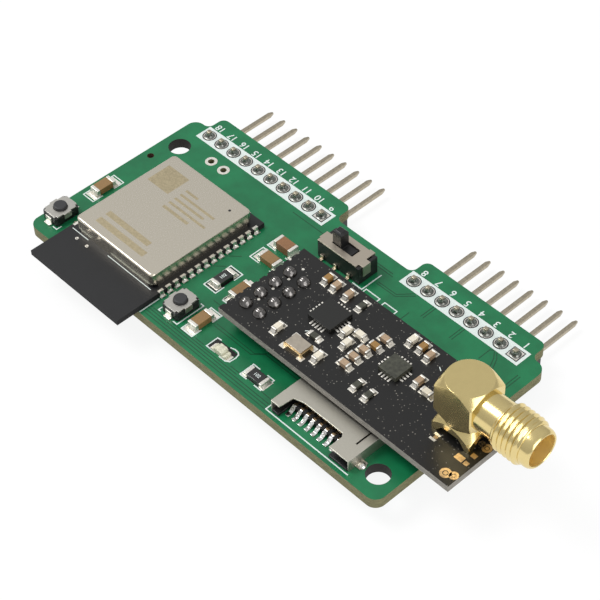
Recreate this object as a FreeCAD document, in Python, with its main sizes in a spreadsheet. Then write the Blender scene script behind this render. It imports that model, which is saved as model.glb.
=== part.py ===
import FreeCAD, Part
import os
import re

import Sketcher

Vector = FreeCAD.Vector

# A small wifi board: a green main board that carries a shielded wifi module, two push buttons,
# a slide switch, a memory card socket, two right-angle pin headers and, on a spacer header,
# a black radio board with a square coax connector.
#
# Sizes are in millimetres. The origin is the left mounting hole's centre on the underside of the
# main board. X runs along the headers to the right, Y towards the pin tips and Z up.
SIZES = {
    # How far a cut starts outside what it cuts
    "cut_margin": 1.0,
    # Main board
    "board_length": 66.45,
    "board_width": 30.0,
    "board_thickness": 1.6,
    "board_corner": 1.5,
    "tab_depth": 2.92,
    "tab_corner": 1.0,
    "tab_margin_left": 1.37,
    "tab_margin_right": 1.77,
    "mounting_hole_radius": 1.6,
    "left_hole_inset_x": 2.75,
    "left_hole_inset_y": 5.45,
    "right_hole_inset_x": 2.9,
    "right_hole_inset_y": 3.35,
    "tooling_hole_radius": 0.5,
    "tooling_hole_x": -1.43,
    "tooling_hole_y": -4.13,
    "test_hole_radius": 0.45,
    "test_hole_x": 5.5,
    "test_hole_y": 1.07,
    # Pin headers and their solder
    "pin_pitch": 2.54,
    "pin_width": 0.64,
    "pin_hole_radius": 0.5,
    "header_row_inset": 1.0,
    "long_header_start": 1.32,
    "long_header_pins": 10,
    "short_header_start": 41.57,
    "short_header_pins": 8,
    "header_gap": 0.2,
    "header_height": 2.54,
    "header_depth": 2.54,
    "header_setback": 1.38,
    "header_notch": 0.35,
    "pin_reach": 12.0,
    "pin_stub": 0.95,
    "pin_bend_inside": 0.25,
    "pin_tip_length": 0.7,
    "pin_tip_width": 0.34,
    "solder_radius": 0.85,
    "solder_knee_radius": 0.6,
    "solder_knee_height": 0.25,
    "solder_top_radius": 0.47,
    "solder_height": 0.75,
    "solder_fit": 0.02,
    # Spacer header between the two boards
    "spacer_x": 31.65,
    "spacer_y": -15.8,
    "spacer_height": 2.54,
    "spacer_rows": 4,
    "spacer_columns": 2,
    "spacer_stub": 0.95,
    # Wifi module
    "module_left": 2.37,
    "module_overhang": 3.45,
    "module_width": 18.0,
    "module_length": 25.5,
    "module_thickness": 0.8,
    "module_pad_pitch": 1.27,
    "module_side_pads": 14,
    "module_end_pads": 10,
    "module_first_pad": 7.51,
    "module_half_hole": 0.3,
    "module_solder_width": 0.8,
    "module_solder_reach": 0.4,
    "module_solder_height": 0.65,
    "shield_inset_x": 1.1,
    "shield_front": 6.95,
    "shield_length": 17.45,
    "shield_height": 2.3,
    "shield_wall": 0.2,
    "shield_corner": 0.7,
    "shield_edge": 0.3,
    "shield_notch": 0.9,
    "shield_notch_height": 0.45,
    "processor_side": 6.0,
    "processor_height": 0.85,
    "memory_length": 6.0,
    "memory_width": 5.0,
    "memory_height": 0.75,
    "module_crystal_length": 3.2,
    "module_crystal_width": 2.5,
    "module_crystal_height": 0.7,
    "module_part_margin": 2.0,
    "module_part_gap": 1.5,
    # Push buttons
    "boot_button_x": -0.8,
    "boot_button_y": -20.4,
    "enable_button_x": 23.85,
    "enable_button_y": -20.2,
    "button_width": 3.0,
    "button_length": 4.0,
    "button_base_height": 1.35,
    "button_corner": 0.25,
    "button_recess_radius": 1.2,
    "button_cover_width": 2.86,
    "button_cover_length": 3.86,
    "button_cover_notch": 0.32,
    "button_cover_thickness": 0.2,
    "button_tab_width": 1.2,
    "button_tab_drop": 0.7,
    "button_tab_thickness": 0.15,
    "plunger_radius": 0.93,
    "plunger_rise": 0.45,
    "plunger_edge": 0.1,
    "plunger_flange_radius": 1.1,
    "plunger_flange_height": 0.3,
    "plunger_fit": 0.05,
    "button_travel": 0.25,
    "dome_radius": 1.1,
    "dome_height": 0.3,
    "dome_shoulder_radius": 0.77,
    "dome_shoulder_height": 0.19,
    "dome_gap": 0.1,
    "dome_thickness": 0.08,
    "button_lead_width": 1.15,
    "button_lead_reach": 0.6,
    "button_lead_thickness": 0.2,
    "button_lead_rise": 1.15,
    # Slide switch
    "switch_x": 29.1,
    "switch_y": -1.1,
    "switch_length": 8.1,
    "switch_width": 3.45,
    "switch_height": 3.0,
    "switch_wall": 0.5,
    "switch_floor": 0.6,
    "switch_sheet": 0.2,
    "switch_slot_x": 1.93,
    "switch_slot_y": 0.98,
    "knob_length": 1.6,
    "knob_width": 1.42,
    "knob_rise": 2.3,
    "knob_chamfer": 0.3,
    "knob_fit": 0.07,
    "knob_travel": 2.0,
    "slider_fit": 0.05,
    "switch_flap_width": 1.4,
    "switch_flap_drop": 1.6,
    "switch_lug_width": 0.9,
    "switch_lug_drop": 1.5,
    "switch_lug_reach": 0.6,
    "switch_notch": 0.6,
    "switch_lead_first": 1.1,
    "switch_lead_last": 2.08,
    "switch_leads": 3,
    "switch_lead_width": 0.55,
    "switch_lead_thickness": 0.2,
    "switch_lead_reach": 0.55,
    "wiper_length": 3.2,
    "wiper_width": 1.0,
    "wiper_thickness": 0.15,
    # Card socket
    "socket_x": 44.57,
    "socket_inset": 1.05,
    "socket_width": 13.53,
    "socket_length": 14.5,
    "socket_height": 1.85,
    "socket_wall": 0.2,
    "socket_cut_left": 1.4,
    "socket_cut_right": 10.2,
    "socket_cut_depth": 2.6,
    "socket_cut_shoulder": 0.45,
    "socket_cut_corner": 0.32,
    "socket_cut_slope": 1.8,
    "socket_slot_inset": 1.2,
    "socket_slot_width": 0.2,
    "socket_slot_length": 5.5,
    "socket_tab_length": 1.4,
    "socket_tab_reach": 0.8,
    "socket_tab_front": 1.1,
    "socket_tab_back": 11.5,
    "socket_floor": 0.45,
    "socket_nose": 0.12,
    "socket_contacts": 8,
    "socket_contact_first": 2.03,
    "socket_contact_pitch": 1.1,
    "socket_contact_width": 0.6,
    "socket_contact_thickness": 0.12,
    "socket_contact_foot": 0.65,
    "socket_contact_foot_length": 0.6,
    "socket_contact_hump_start": 2.1,
    "socket_contact_hump_end": 2.5,
    "socket_contact_hump_height": 0.7,
    "socket_contact_flat_start": 2.8,
    "socket_contact_flat_end": 4.8,
    "socket_contact_crest_start": 7.2,
    "socket_contact_crest": 1.05,
    "socket_contact_tip": 7.7,
    "socket_contact_tip_height": 0.9,
    # Radio board
    "radio_left": 29.7,
    "radio_front": -18.75,
    "radio_length": 40.0,
    "radio_width": 14.9,
    "radio_thickness": 1.0,
    "radio_half_hole": 0.25,
    "radio_half_holes": 10,
    "radio_half_hole_pitch": 1.4,
    "radio_half_hole_first": 1.15,
    "large_chip_x": 11.23,
    "large_chip_y": 8.82,
    "large_chip_side": 4.0,
    "small_chip_x": 23.05,
    "small_chip_y": 8.45,
    "small_chip_side": 3.0,
    "flat_chip_height": 0.7,
    "chip_land_pitch": 0.5,
    "chip_land_width": 0.26,
    "chip_land_reach": 0.6,
    "chip_land_height": 0.12,
    "large_chip_lands": 5,
    "small_chip_lands": 4,
    "can_x": 12.1,
    "can_y": 2.55,
    "can_length": 3.1,
    "can_width": 2.25,
    "can_base_height": 0.55,
    "can_lid_inset": 0.14,
    "can_lid_height": 0.25,
    # Small two-ended parts
    "small_part_length": 1.6,
    "small_part_width": 0.85,
    "small_part_height": 0.75,
    "small_resistor_height": 0.45,
    "small_end_length": 0.3,
    "part_end_shoulder": 0.6,
    "small_solder_reach": 0.3,
    "large_part_length": 3.2,
    "large_part_width": 1.6,
    "large_part_height": 0.95,
    "brown_part_height": 1.35,
    "large_resistor_height": 0.6,
    "large_end_length": 0.5,
    "large_solder_reach": 0.3,
    "light_x": 33.2,
    "light_y": -21.6,
    "light_length": 2.5,
    "light_width": 1.2,
    "light_base_height": 0.4,
    "light_lens_length": 1.5,
    "light_lens_height": 0.5,
    # Coax connector
    "coax_inset": 4.63,
    "coax_y": 8.15,
    "coax_side": 6.0,
    "coax_arch_height": 1.25,
    "coax_foot_edge": 0.85,
    "coax_flank_radius": 4.32,
    "coax_block_top": 8.65,
    "coax_corner_radius": 4.12,
    "coax_bevel_radius": 2.95,
    "coax_bevel_height": 1.25,
    "coax_waist_radius": 2.93,
    "coax_waist_low": 2.27,
    "coax_waist_high": 2.6,
    "coax_waist_flank": 1.0,
    "coax_arch_foot": 4.6,
    "coax_arch_head": 2.6,
    "coax_post_radius": 0.42,
    "coax_post_spacing": 5.08,
    "coax_post_length": 2.4,
    "coax_post_fit": 0.08,
    "coax_axis_height": 5.4,
    "coax_neck_radius": 2.65,
    "coax_neck_length": 2.8,
    "coax_thread_radius": 3.175,
    "coax_thread_length": 4.15,
    "coax_thread_chamfer": 0.35,
    "coax_nose_radius": 2.7,
    "coax_reach": 8.38,
    "coax_rim_chamfer": 0.28,
    "coax_mouth_radius": 2.2,
    "coax_mouth_depth": 3.8,
    "coax_bore_radius": 2.05,
    "coax_insulator_fit": 0.02,
    "coax_contact_radius": 0.64,
    "coax_contact_fit": 0.02,
    "coax_contact_reach": 1.8,
    "coax_contact_socket": 0.45,
    "coax_contact_slit": 0.18,
    "coax_contact_slit_depth": 1.4,
}

# Places of small parts, each with its centre and the axis that it lies along: those of the radio
# board are measured from its left front corner, those of the main board from the origin.
RADIO_PARTS = {
    "radio_white_parts": [
        (8.05, 2.85, "Y"), (15.1, 3.05, "Y"), (14.55, 8.48, "Y"), (16.25, 9.2, "X"),
        (16.0, 7.1, "Y"), (21.4, 13.25, "Y"), (28.55, 8.3, "X"),
    ],
    "radio_brown_parts": [(6.4, 13.15, "Y"), (18.85, 9.2, "X"), (23.1, 13.3, "Y")],
    "radio_tan_parts": [
        (8.05, 13.05, "Y"), (10.3, 13.05, "Y"), (18.95, 10.9, "X"), (18.35, 7.75, "X"),
        (18.25, 6.1, "X"), (18.3, 4.5, "X"), (24.7, 12.9, "Y"), (26.65, 8.95, "Y"),
    ],
    "radio_resistors": [
        (12.75, 12.95, "Y"), (12.25, 5.15, "X"), (21.7, 3.3, "Y"), (23.8, 3.15, "Y"),
    ],
}
BOARD_PARTS = {
    "board_tan_parts": [
        (-0.84, -13.05, "Y"), (27.55, -20.0, "Y"), (25.8, -6.4, "X"), (27.3, -12.9, "Y"),
    ],
    "board_brown_part": [(25.65, -3.4, "X")],
    "board_resistors": [(23.8, -12.9, "Y"), (39.6, -21.3, "X")],
}

doc = FreeCAD.newDocument("WifiBoard")
sheet = doc.addObject("Spreadsheet::Sheet", "Sizes")
for row, (alias, size) in enumerate(SIZES.items(), start=1):
    sheet.set(f"A{row}", str(size))
    sheet.setAlias(f"A{row}", alias)
doc.recompute()

# Levels and edges that several pieces share, written with the sheet's names.
LEFT = "(-left_hole_inset_x)"
RIGHT = "(board_length - left_hole_inset_x)"
BACK = "left_hole_inset_y"
FRONT = "(left_hole_inset_y - board_width)"
HEADER_ROW = "(left_hole_inset_y - header_row_inset)"
RADIO_UNDER = "(board_thickness + spacer_height)"
RADIO_TOP = "(board_thickness + spacer_height + radio_thickness)"
PIN_DROP = "(header_gap + header_height / 2)"
MODULE_PLACE = ("module_left", f"{FRONT} - module_overhang", "board_thickness")
SPACER_PLACE = ("spacer_x", "spacer_y", "board_thickness")
SWITCH_PLACE = ("switch_x", "switch_y", "board_thickness")
SOCKET_PLACE = ("socket_x", f"{FRONT} + socket_inset", "board_thickness")
RADIO_PLACE = ("radio_left", "radio_front", RADIO_UNDER)
COAX_PLACE = ("radio_left + radio_length - coax_inset", "radio_front + coax_y", RADIO_TOP)

nodes = []


def formula(text):
    """The text with each size's name turned into its cell of the sheet."""
    return re.sub(r"[a-z][a-z_]*", lambda word: f"Sizes.{word.group()}", text)


def value(text):
    """What a formula of sizes comes to."""
    return float(sheet.evalExpression(formula(text)))


def bind(item, name, text):
    item.setExpression(name, formula(text))


def place(item, where):
    """Bind an object's place and keep it as a node of the part."""
    for axis, text in zip("xyz", where):
        bind(item, f"Placement.Base.{axis}", text)
    nodes.append(item)
    return item


def new_body(label, where=("0", "0", "0")):
    body = doc.addObject("PartDesign::Body", label)
    body.AllowCompound = True
    return place(body, where)


def origin_item(body, role):
    return next(item for item in body.Origin.OriginFeatures if item.Role == role)


def sketch_on(body, plane, level="0"):
    """An empty sketch on one of the body's origin planes, moved to a level along the plane's axis."""
    sketch = body.newObject("Sketcher::SketchObject", f"{body.Name}_sketch")
    sketch.AttachmentSupport = [(origin_item(body, f"{plane}_Plane"), "")]
    sketch.MapMode = "FlatFace"
    side = "-" if plane == "XZ" else ""
    bind(sketch, "AttachmentOffset.Base.z", f"{side}({level})")
    return sketch


def pin_point(sketch, geometry, end, across, up):
    """Hold one point of the sketch at two formulas."""
    for kind, text in (("DistanceX", across), ("DistanceY", up)):
        number = sketch.addConstraint(Sketcher.Constraint(kind, -1, 1, geometry, end, value(text)))
        bind(sketch, f"Constraints[{number}]", text)


def outline(sketch, corners):
    """A closed outline with straight sides through corners given as pairs of formulas."""
    first = sketch.GeometryCount
    points = [Vector(value(across), value(up), 0) for across, up in corners]
    for start, end in zip(points, points[1:] + points[:1]):
        sketch.addGeometry(Part.LineSegment(start, end), False)
    for number, (across, up) in enumerate(corners):
        following = (number + 1) % len(corners)
        sketch.addConstraint(Sketcher.Constraint("Coincident", first + number, 2, first + following, 1))
        pin_point(sketch, first + number, 1, across, up)
    return sketch


def rectangle(sketch, left, low, right, high):
    return outline(sketch, [(left, low), (right, low), (right, high), (left, high)])


def circle(sketch, across, up, radius):
    centre = Vector(value(across), value(up), 0)
    number = sketch.addGeometry(Part.Circle(centre, Vector(0, 0, 1), value(radius)), False)
    pin_point(sketch, number, 3, across, up)
    constraint = sketch.addConstraint(Sketcher.Constraint("Radius", number, value(radius)))
    bind(sketch, f"Constraints[{constraint}]", radius)
    return sketch


def add_feature(body, kind, sketch):
    feature = body.newObject(f"PartDesign::{kind}", f"{body.Name}_{kind.lower()}")
    feature.Profile = sketch
    return feature


def pad(body, sketch, length, symmetric=False, reverse=False):
    feature = add_feature(body, "Pad", sketch)
    bind(feature, "Length", length)
    feature.SideType = "Symmetric" if symmetric else "One side"
    feature.Reversed = reverse
    doc.recompute()
    return feature


def pocket(body, sketch, depth=None, symmetric=False, reverse=False):
    """Cut the sketch's outline out of the body, right through where no depth is given."""
    volume_before = body.Shape.Volume
    feature = add_feature(body, "Pocket", sketch)
    feature.SideType = "Symmetric" if symmetric else "One side"
    if depth is None:
        feature.Type = "ThroughAll"
    else:
        bind(feature, "Length", depth)
    feature.Reversed = reverse
    doc.recompute()
    if body.Shape.Volume >= volume_before:
        raise ValueError(f"{feature.Name} cuts nothing")
    return feature


def turned(body, sketch, axis, kind="Revolution"):
    """A full turn of the sketch about one of the body's axes, added or, as a Groove, cut away."""
    feature = add_feature(body, kind, sketch)
    feature.ReferenceAxis = (origin_item(body, f"{axis}_Axis"), [""])
    feature.Angle = 360
    doc.recompute()
    return feature


def row(body, axis, count, length, features=None):
    """Repeat some features, or the whole body so far, along an axis."""
    pattern = body.newObject("PartDesign::LinearPattern", f"{body.Name}_row")
    if features is None:
        pattern.TransformMode = "Whole shape"
    else:
        pattern.Originals = features
    pattern.Direction = (origin_item(body, f"{axis}_Axis"), [""])
    bind(pattern, "Length", length)
    bind(pattern, "Occurrences", count)
    body.Tip = pattern
    doc.recompute()
    return pattern


def dress(body, kind, size, chosen):
    """Round or bevel the edges of the body's last feature whose bounding box is chosen."""
    base = body.Tip
    edges = enumerate(base.Shape.Edges, start=1)
    names = [f"Edge{number}" for number, edge in edges if chosen(edge.BoundBox)]
    feature = body.newObject(f"PartDesign::{kind}", f"{body.Name}_{kind.lower()}")
    feature.Base = (base, names)
    bind(feature, "Radius" if kind == "Fillet" else "Size", size)
    doc.recompute()
    return feature


def is_near(first, second):
    return abs(first - second) < 1e-4


def is_upright(box):
    return box.XLength < 1e-4 and box.YLength < 1e-4


def runs_along_x(box):
    return box.YLength < 1e-4 and box.ZLength < 1e-4


def is_level_at(height):
    return lambda box: box.ZLength < 1e-4 and is_near(box.ZMin, value(height))


def shape_node(label, shape, where=("0", "0", "0")):
    """A node whose shape is worked out here from the sheet's sizes."""
    item = doc.addObject("Part::Feature", label)
    item.Shape = shape
    return place(item, where)


def box_node(label, low, size, where=("0", "0", "0")):
    """A plain block, given by its low corner and its three sizes."""
    item = doc.addObject("Part::Box", label)
    for name, text in zip(("Length", "Width", "Height"), size):
        bind(item, name, text)
    return place(item, [f"{base} + {offset}" for base, offset in zip(where, low)])


# Main board


def pin_holes(body, level, columns, rows, start):
    """Round holes for a block of pins, the first at the start point."""
    first = circle(sketch_on(body, "XY", level), *start, "pin_hole_radius")
    features = [pocket(body, first)]
    for column in range(1, int(value(columns))):
        across = f"{start[0]} + {column} * pin_pitch"
        hole = circle(sketch_on(body, "XY", level), across, start[1], "pin_hole_radius")
        features.append(pocket(body, hole))
    row(body, "Y" if rows == "spacer_rows" else "X", rows, f"pin_pitch * ({rows} - 1)", features)


def make_main_board():
    board = new_body("main_board")
    tab_edge = f"{BACK} + tab_depth"
    tabs = []
    for name in ("short", "long"):
        tab_left = f"{name}_header_start - tab_margin_left"
        tab_right = f"{name}_header_start + pin_pitch * ({name}_header_pins - 1) + tab_margin_right"
        tabs += [(tab_right, BACK), (tab_right, tab_edge), (tab_left, tab_edge), (tab_left, BACK)]
    corners = [(LEFT, FRONT), (RIGHT, FRONT), (RIGHT, BACK)] + tabs + [(LEFT, BACK)]
    pad(board, outline(sketch_on(board, "XY"), corners), "board_thickness")
    board_corners = [(value(x), value(y)) for x in (LEFT, RIGHT) for y in (FRONT, BACK)]

    def is_board_corner(box):
        if not is_upright(box):
            return False
        return any(is_near(box.XMin, x) and is_near(box.YMin, y) for x, y in board_corners)

    dress(board, "Fillet", "board_corner", is_board_corner)
    tab_places = [(value(x), value(y)) for x, y in tabs]

    def is_tab_corner(box):
        return is_upright(box) and any(is_near(box.XMin, x) and is_near(box.YMin, y) for x, y in tab_places)

    dress(board, "Fillet", "tab_corner", is_tab_corner)
    holes = sketch_on(board, "XY", "board_thickness")
    circle(holes, "0", "0", "mounting_hole_radius")
    circle(holes, f"{RIGHT} - right_hole_inset_x", f"{FRONT} + right_hole_inset_y", "mounting_hole_radius")
    circle(holes, "tooling_hole_x", "tooling_hole_y", "tooling_hole_radius")
    circle(holes, "test_hole_x", "test_hole_y", "test_hole_radius")
    circle(holes, "test_hole_x + pin_pitch", "test_hole_y", "test_hole_radius")
    pocket(board, holes)
    for name in ("long", "short"):
        pin_holes(board, "board_thickness", "1", f"{name}_header_pins", (f"{name}_header_start", HEADER_ROW))
    pin_holes(board, "board_thickness", "spacer_columns", "spacer_rows", ("spacer_x", "spacer_y"))


# Right-angle headers


def solder_profile(body, board, down=False):
    """Half section of the solder in and on a plated hole, on the body's XZ plane."""
    sketch = sketch_on(body, "XZ")
    barrel = "pin_hole_radius - solder_fit"
    foot, side = ("0", "-") if down else (board, "+")
    far_end = board if down else "0"
    outline(sketch, [
        ("0", far_end),
        (barrel, far_end),
        (barrel, foot),
        ("solder_radius", foot),
        ("solder_knee_radius", f"{foot} {side} solder_knee_height"),
        ("solder_top_radius", f"{foot} {side} solder_height"),
        ("0", f"{foot} {side} solder_height"),
    ])
    return sketch


def make_solder(label, where, board, columns, rows, axis, down=False):
    """Solder joints, each with the square hole that its pin fills."""
    solder = new_body(label, where)
    turned(solder, solder_profile(solder, board, down), "Z")
    half = "pin_width / 2"
    pin_hole = rectangle(sketch_on(solder, "XY"), f"-{half}", f"-{half}", half, half)
    pocket(solder, pin_hole, symmetric=True)
    if columns != "1":
        row(solder, "X", columns, f"pin_pitch * ({columns} - 1)")
    row(solder, axis, rows, f"pin_pitch * ({rows} - 1)")


def make_header(name):
    """A right-angle header under the board: its moulding, its bent pins and their solder."""
    where = (f"{name}_header_start", HEADER_ROW, "0")
    count = f"{name}_header_pins"
    length = f"pin_pitch * ({count} - 1)"
    pin_low = f"-{PIN_DROP} - pin_width / 2"
    pin_high = f"-{PIN_DROP} + pin_width / 2"

    housing = new_body(f"{name}_header_housing", where)
    section = rectangle(
        sketch_on(housing, "XY", "-header_gap - header_height"),
        "-pin_pitch / 2", "header_setback", "pin_pitch / 2", "header_setback + header_depth",
    )
    pad(housing, section, "header_height")
    dress(housing, "Chamfer", "header_notch", is_upright)
    half = "pin_width / 2"
    channel = rectangle(sketch_on(housing, "XZ", "header_setback"), f"-{half}", pin_low, half, pin_high)
    pocket(housing, channel, symmetric=True)
    row(housing, "X", count, length)

    pins = new_body(f"{name}_header_pins", where)
    top = "board_thickness + pin_stub"
    tip_start = "pin_reach - pin_tip_length"
    bend = outline(sketch_on(pins, "YZ"), [
        (f"-{half}", pin_low),
        (tip_start, pin_low),
        ("pin_reach", f"-{PIN_DROP} - pin_tip_width / 2"),
        ("pin_reach", f"-{PIN_DROP} + pin_tip_width / 2"),
        (tip_start, pin_high),
        (half, pin_high),
        (half, top),
        (f"-{half}", top),
    ])
    pad(pins, bend, "pin_width", symmetric=True)
    places = [
        ("pin_bend_inside + pin_width", f"-{half}", pin_low),
        ("pin_bend_inside", half, pin_high),
    ]
    for radius, across, up in places:
        bend_y, bend_z = value(across), value(up)

        def is_at_bend(box):
            return runs_along_x(box) and is_near(box.YMin, bend_y) and is_near(box.ZMin, bend_z)

        dress(pins, "Fillet", radius, is_at_bend)
    tip = sketch_on(pins, "XY", f"-{PIN_DROP}")
    for side in ("", "-"):
        outline(tip, [
            (f"{side}(pin_width / 2)", tip_start),
            (f"{side}(pin_width / 2)", "pin_reach"),
            (f"{side}(pin_tip_width / 2)", "pin_reach"),
        ])
    pocket(pins, tip, symmetric=True, depth="2 * pin_width")
    row(pins, "X", count, length)

    make_solder(f"{name}_header_solder", where, "board_thickness", "1", count, "X")


# Spacer header


def make_spacer_header():
    """The straight header that carries the radio board."""
    housing = new_body("spacer_header_housing", SPACER_PLACE)
    right = "pin_pitch * (spacer_columns - 0.5)"
    pad(
        housing,
        rectangle(sketch_on(housing, "XY"), "-pin_pitch / 2", "-pin_pitch / 2", right, "pin_pitch / 2"),
        "spacer_height",
    )
    dress(housing, "Chamfer", "header_notch", is_upright)
    channels = sketch_on(housing, "XY", "spacer_height")
    pins = new_body("spacer_header_pins", SPACER_PLACE)
    sections = sketch_on(pins, "XY", "-board_thickness - spacer_stub")
    for column in range(int(value("spacer_columns"))):
        edges = (f"{column} * pin_pitch - pin_width / 2", "-pin_width / 2",
                 f"{column} * pin_pitch + pin_width / 2", "pin_width / 2")
        rectangle(channels, *edges)
        rectangle(sections, *edges)
    pocket(housing, channels)
    row(housing, "Y", "spacer_rows", "pin_pitch * (spacer_rows - 1)")
    pad(pins, sections, f"{RADIO_TOP} + 2 * spacer_stub")
    is_low_end = is_level_at("-board_thickness - spacer_stub")
    is_high_end = is_level_at(f"{RADIO_TOP} - board_thickness + spacer_stub")
    tip_cut = "pin_width / 2 - pin_tip_width / 2"
    dress(pins, "Chamfer", tip_cut, lambda box: is_low_end(box) or is_high_end(box))
    row(pins, "Y", "spacer_rows", "pin_pitch * (spacer_rows - 1)")
    under = ("spacer_x", "spacer_y", "0")
    upper = ("spacer_x", "spacer_y", RADIO_UNDER)
    make_solder(
        "spacer_solder_lower", under, "board_thickness", "spacer_columns", "spacer_rows", "Y", down=True
    )
    make_solder("spacer_solder_upper", upper, "radio_thickness", "spacer_columns", "spacer_rows", "Y")


# Wifi module


def make_wifi_module():
    """The module: its board with half-holes, its pressed shield, what is under it, and its solder."""
    side_row = "module_pad_pitch * (module_side_pads - 1)"
    end_row = "module_pad_pitch * (module_end_pads - 1)"
    end_first = "module_width / 2 - module_pad_pitch * (module_end_pads - 1) / 2"

    board = new_body("wifi_module_board", MODULE_PLACE)
    sheet = rectangle(sketch_on(board, "XY"), "0", "0", "module_width", "module_length")
    pad(board, sheet, "module_thickness")
    sides = sketch_on(board, "XY", "module_thickness")
    circle(sides, "0", "module_first_pad", "module_half_hole")
    circle(sides, "module_width", "module_first_pad", "module_half_hole")
    row(board, "Y", "module_side_pads", side_row, [pocket(board, sides)])
    end = circle(sketch_on(board, "XY", "module_thickness"), end_first, "module_length", "module_half_hole")
    row(board, "X", "module_end_pads", end_row, [pocket(board, end)])

    solder = new_body("wifi_module_solder", MODULE_PLACE)
    feet = sketch_on(solder, "XZ", "module_first_pad")
    outline(feet, [("0", "0"), ("0", "module_solder_height"), ("-module_solder_reach", "0")])
    outline(feet, [
        ("module_width", "0"),
        ("module_width + module_solder_reach", "0"),
        ("module_width", "module_solder_height"),
    ])
    row(solder, "Y", "module_side_pads", side_row, [pad(solder, feet, "module_solder_width", symmetric=True)])
    foot = outline(sketch_on(solder, "YZ", end_first), [
        ("module_length", "0"),
        ("module_length + module_solder_reach", "0"),
        ("module_length", "module_solder_height"),
    ])
    row(solder, "X", "module_end_pads", end_row, [pad(solder, foot, "module_solder_width", symmetric=True)])

    shield = new_body("wifi_module_shield", MODULE_PLACE)
    right = "module_width - shield_inset_x"
    back = "shield_front + shield_length"
    low = "module_thickness"
    top = "module_thickness + shield_height"
    pad(
        shield,
        rectangle(sketch_on(shield, "XY", low), "shield_inset_x", "shield_front", right, back),
        "shield_height",
    )
    dress(shield, "Fillet", "shield_corner", is_upright)
    dress(shield, "Fillet", "shield_edge", is_level_at(top))
    hollow = rectangle(
        sketch_on(shield, "XY", low),
        "shield_inset_x + shield_wall", "shield_front + shield_wall",
        f"{right} - shield_wall", f"{back} - shield_wall",
    )
    pocket(shield, hollow, "shield_height - shield_wall", reverse=True)
    notches = sketch_on(shield, "XY", low)
    for x, inward_x in (("shield_inset_x", "+"), (right, "-")):
        for y, inward_y in (("shield_front", "+"), (back, "-")):
            rectangle(notches, x, y, f"{x} {inward_x} shield_notch", f"{y} {inward_y} shield_notch")
    pocket(shield, notches, "shield_notch_height", reverse=True)

    middle_x = "module_width / 2"
    inside_y = "shield_front + shield_wall + module_part_margin"
    box_node("wifi_module_processor", (f"{middle_x} - processor_side / 2", inside_y, low),
             ("processor_side", "processor_side", "processor_height"), MODULE_PLACE)
    beyond_y = f"{inside_y} + processor_side + module_part_gap"
    box_node("wifi_module_memory", (f"{middle_x} - memory_length - module_part_gap / 2", beyond_y, low),
             ("memory_length", "memory_width", "memory_height"), MODULE_PLACE)
    box_node("wifi_module_crystal", (f"{middle_x} + module_part_gap / 2", beyond_y, low),
             ("module_crystal_length", "module_crystal_width", "module_crystal_height"), MODULE_PLACE)


# Push buttons


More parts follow.
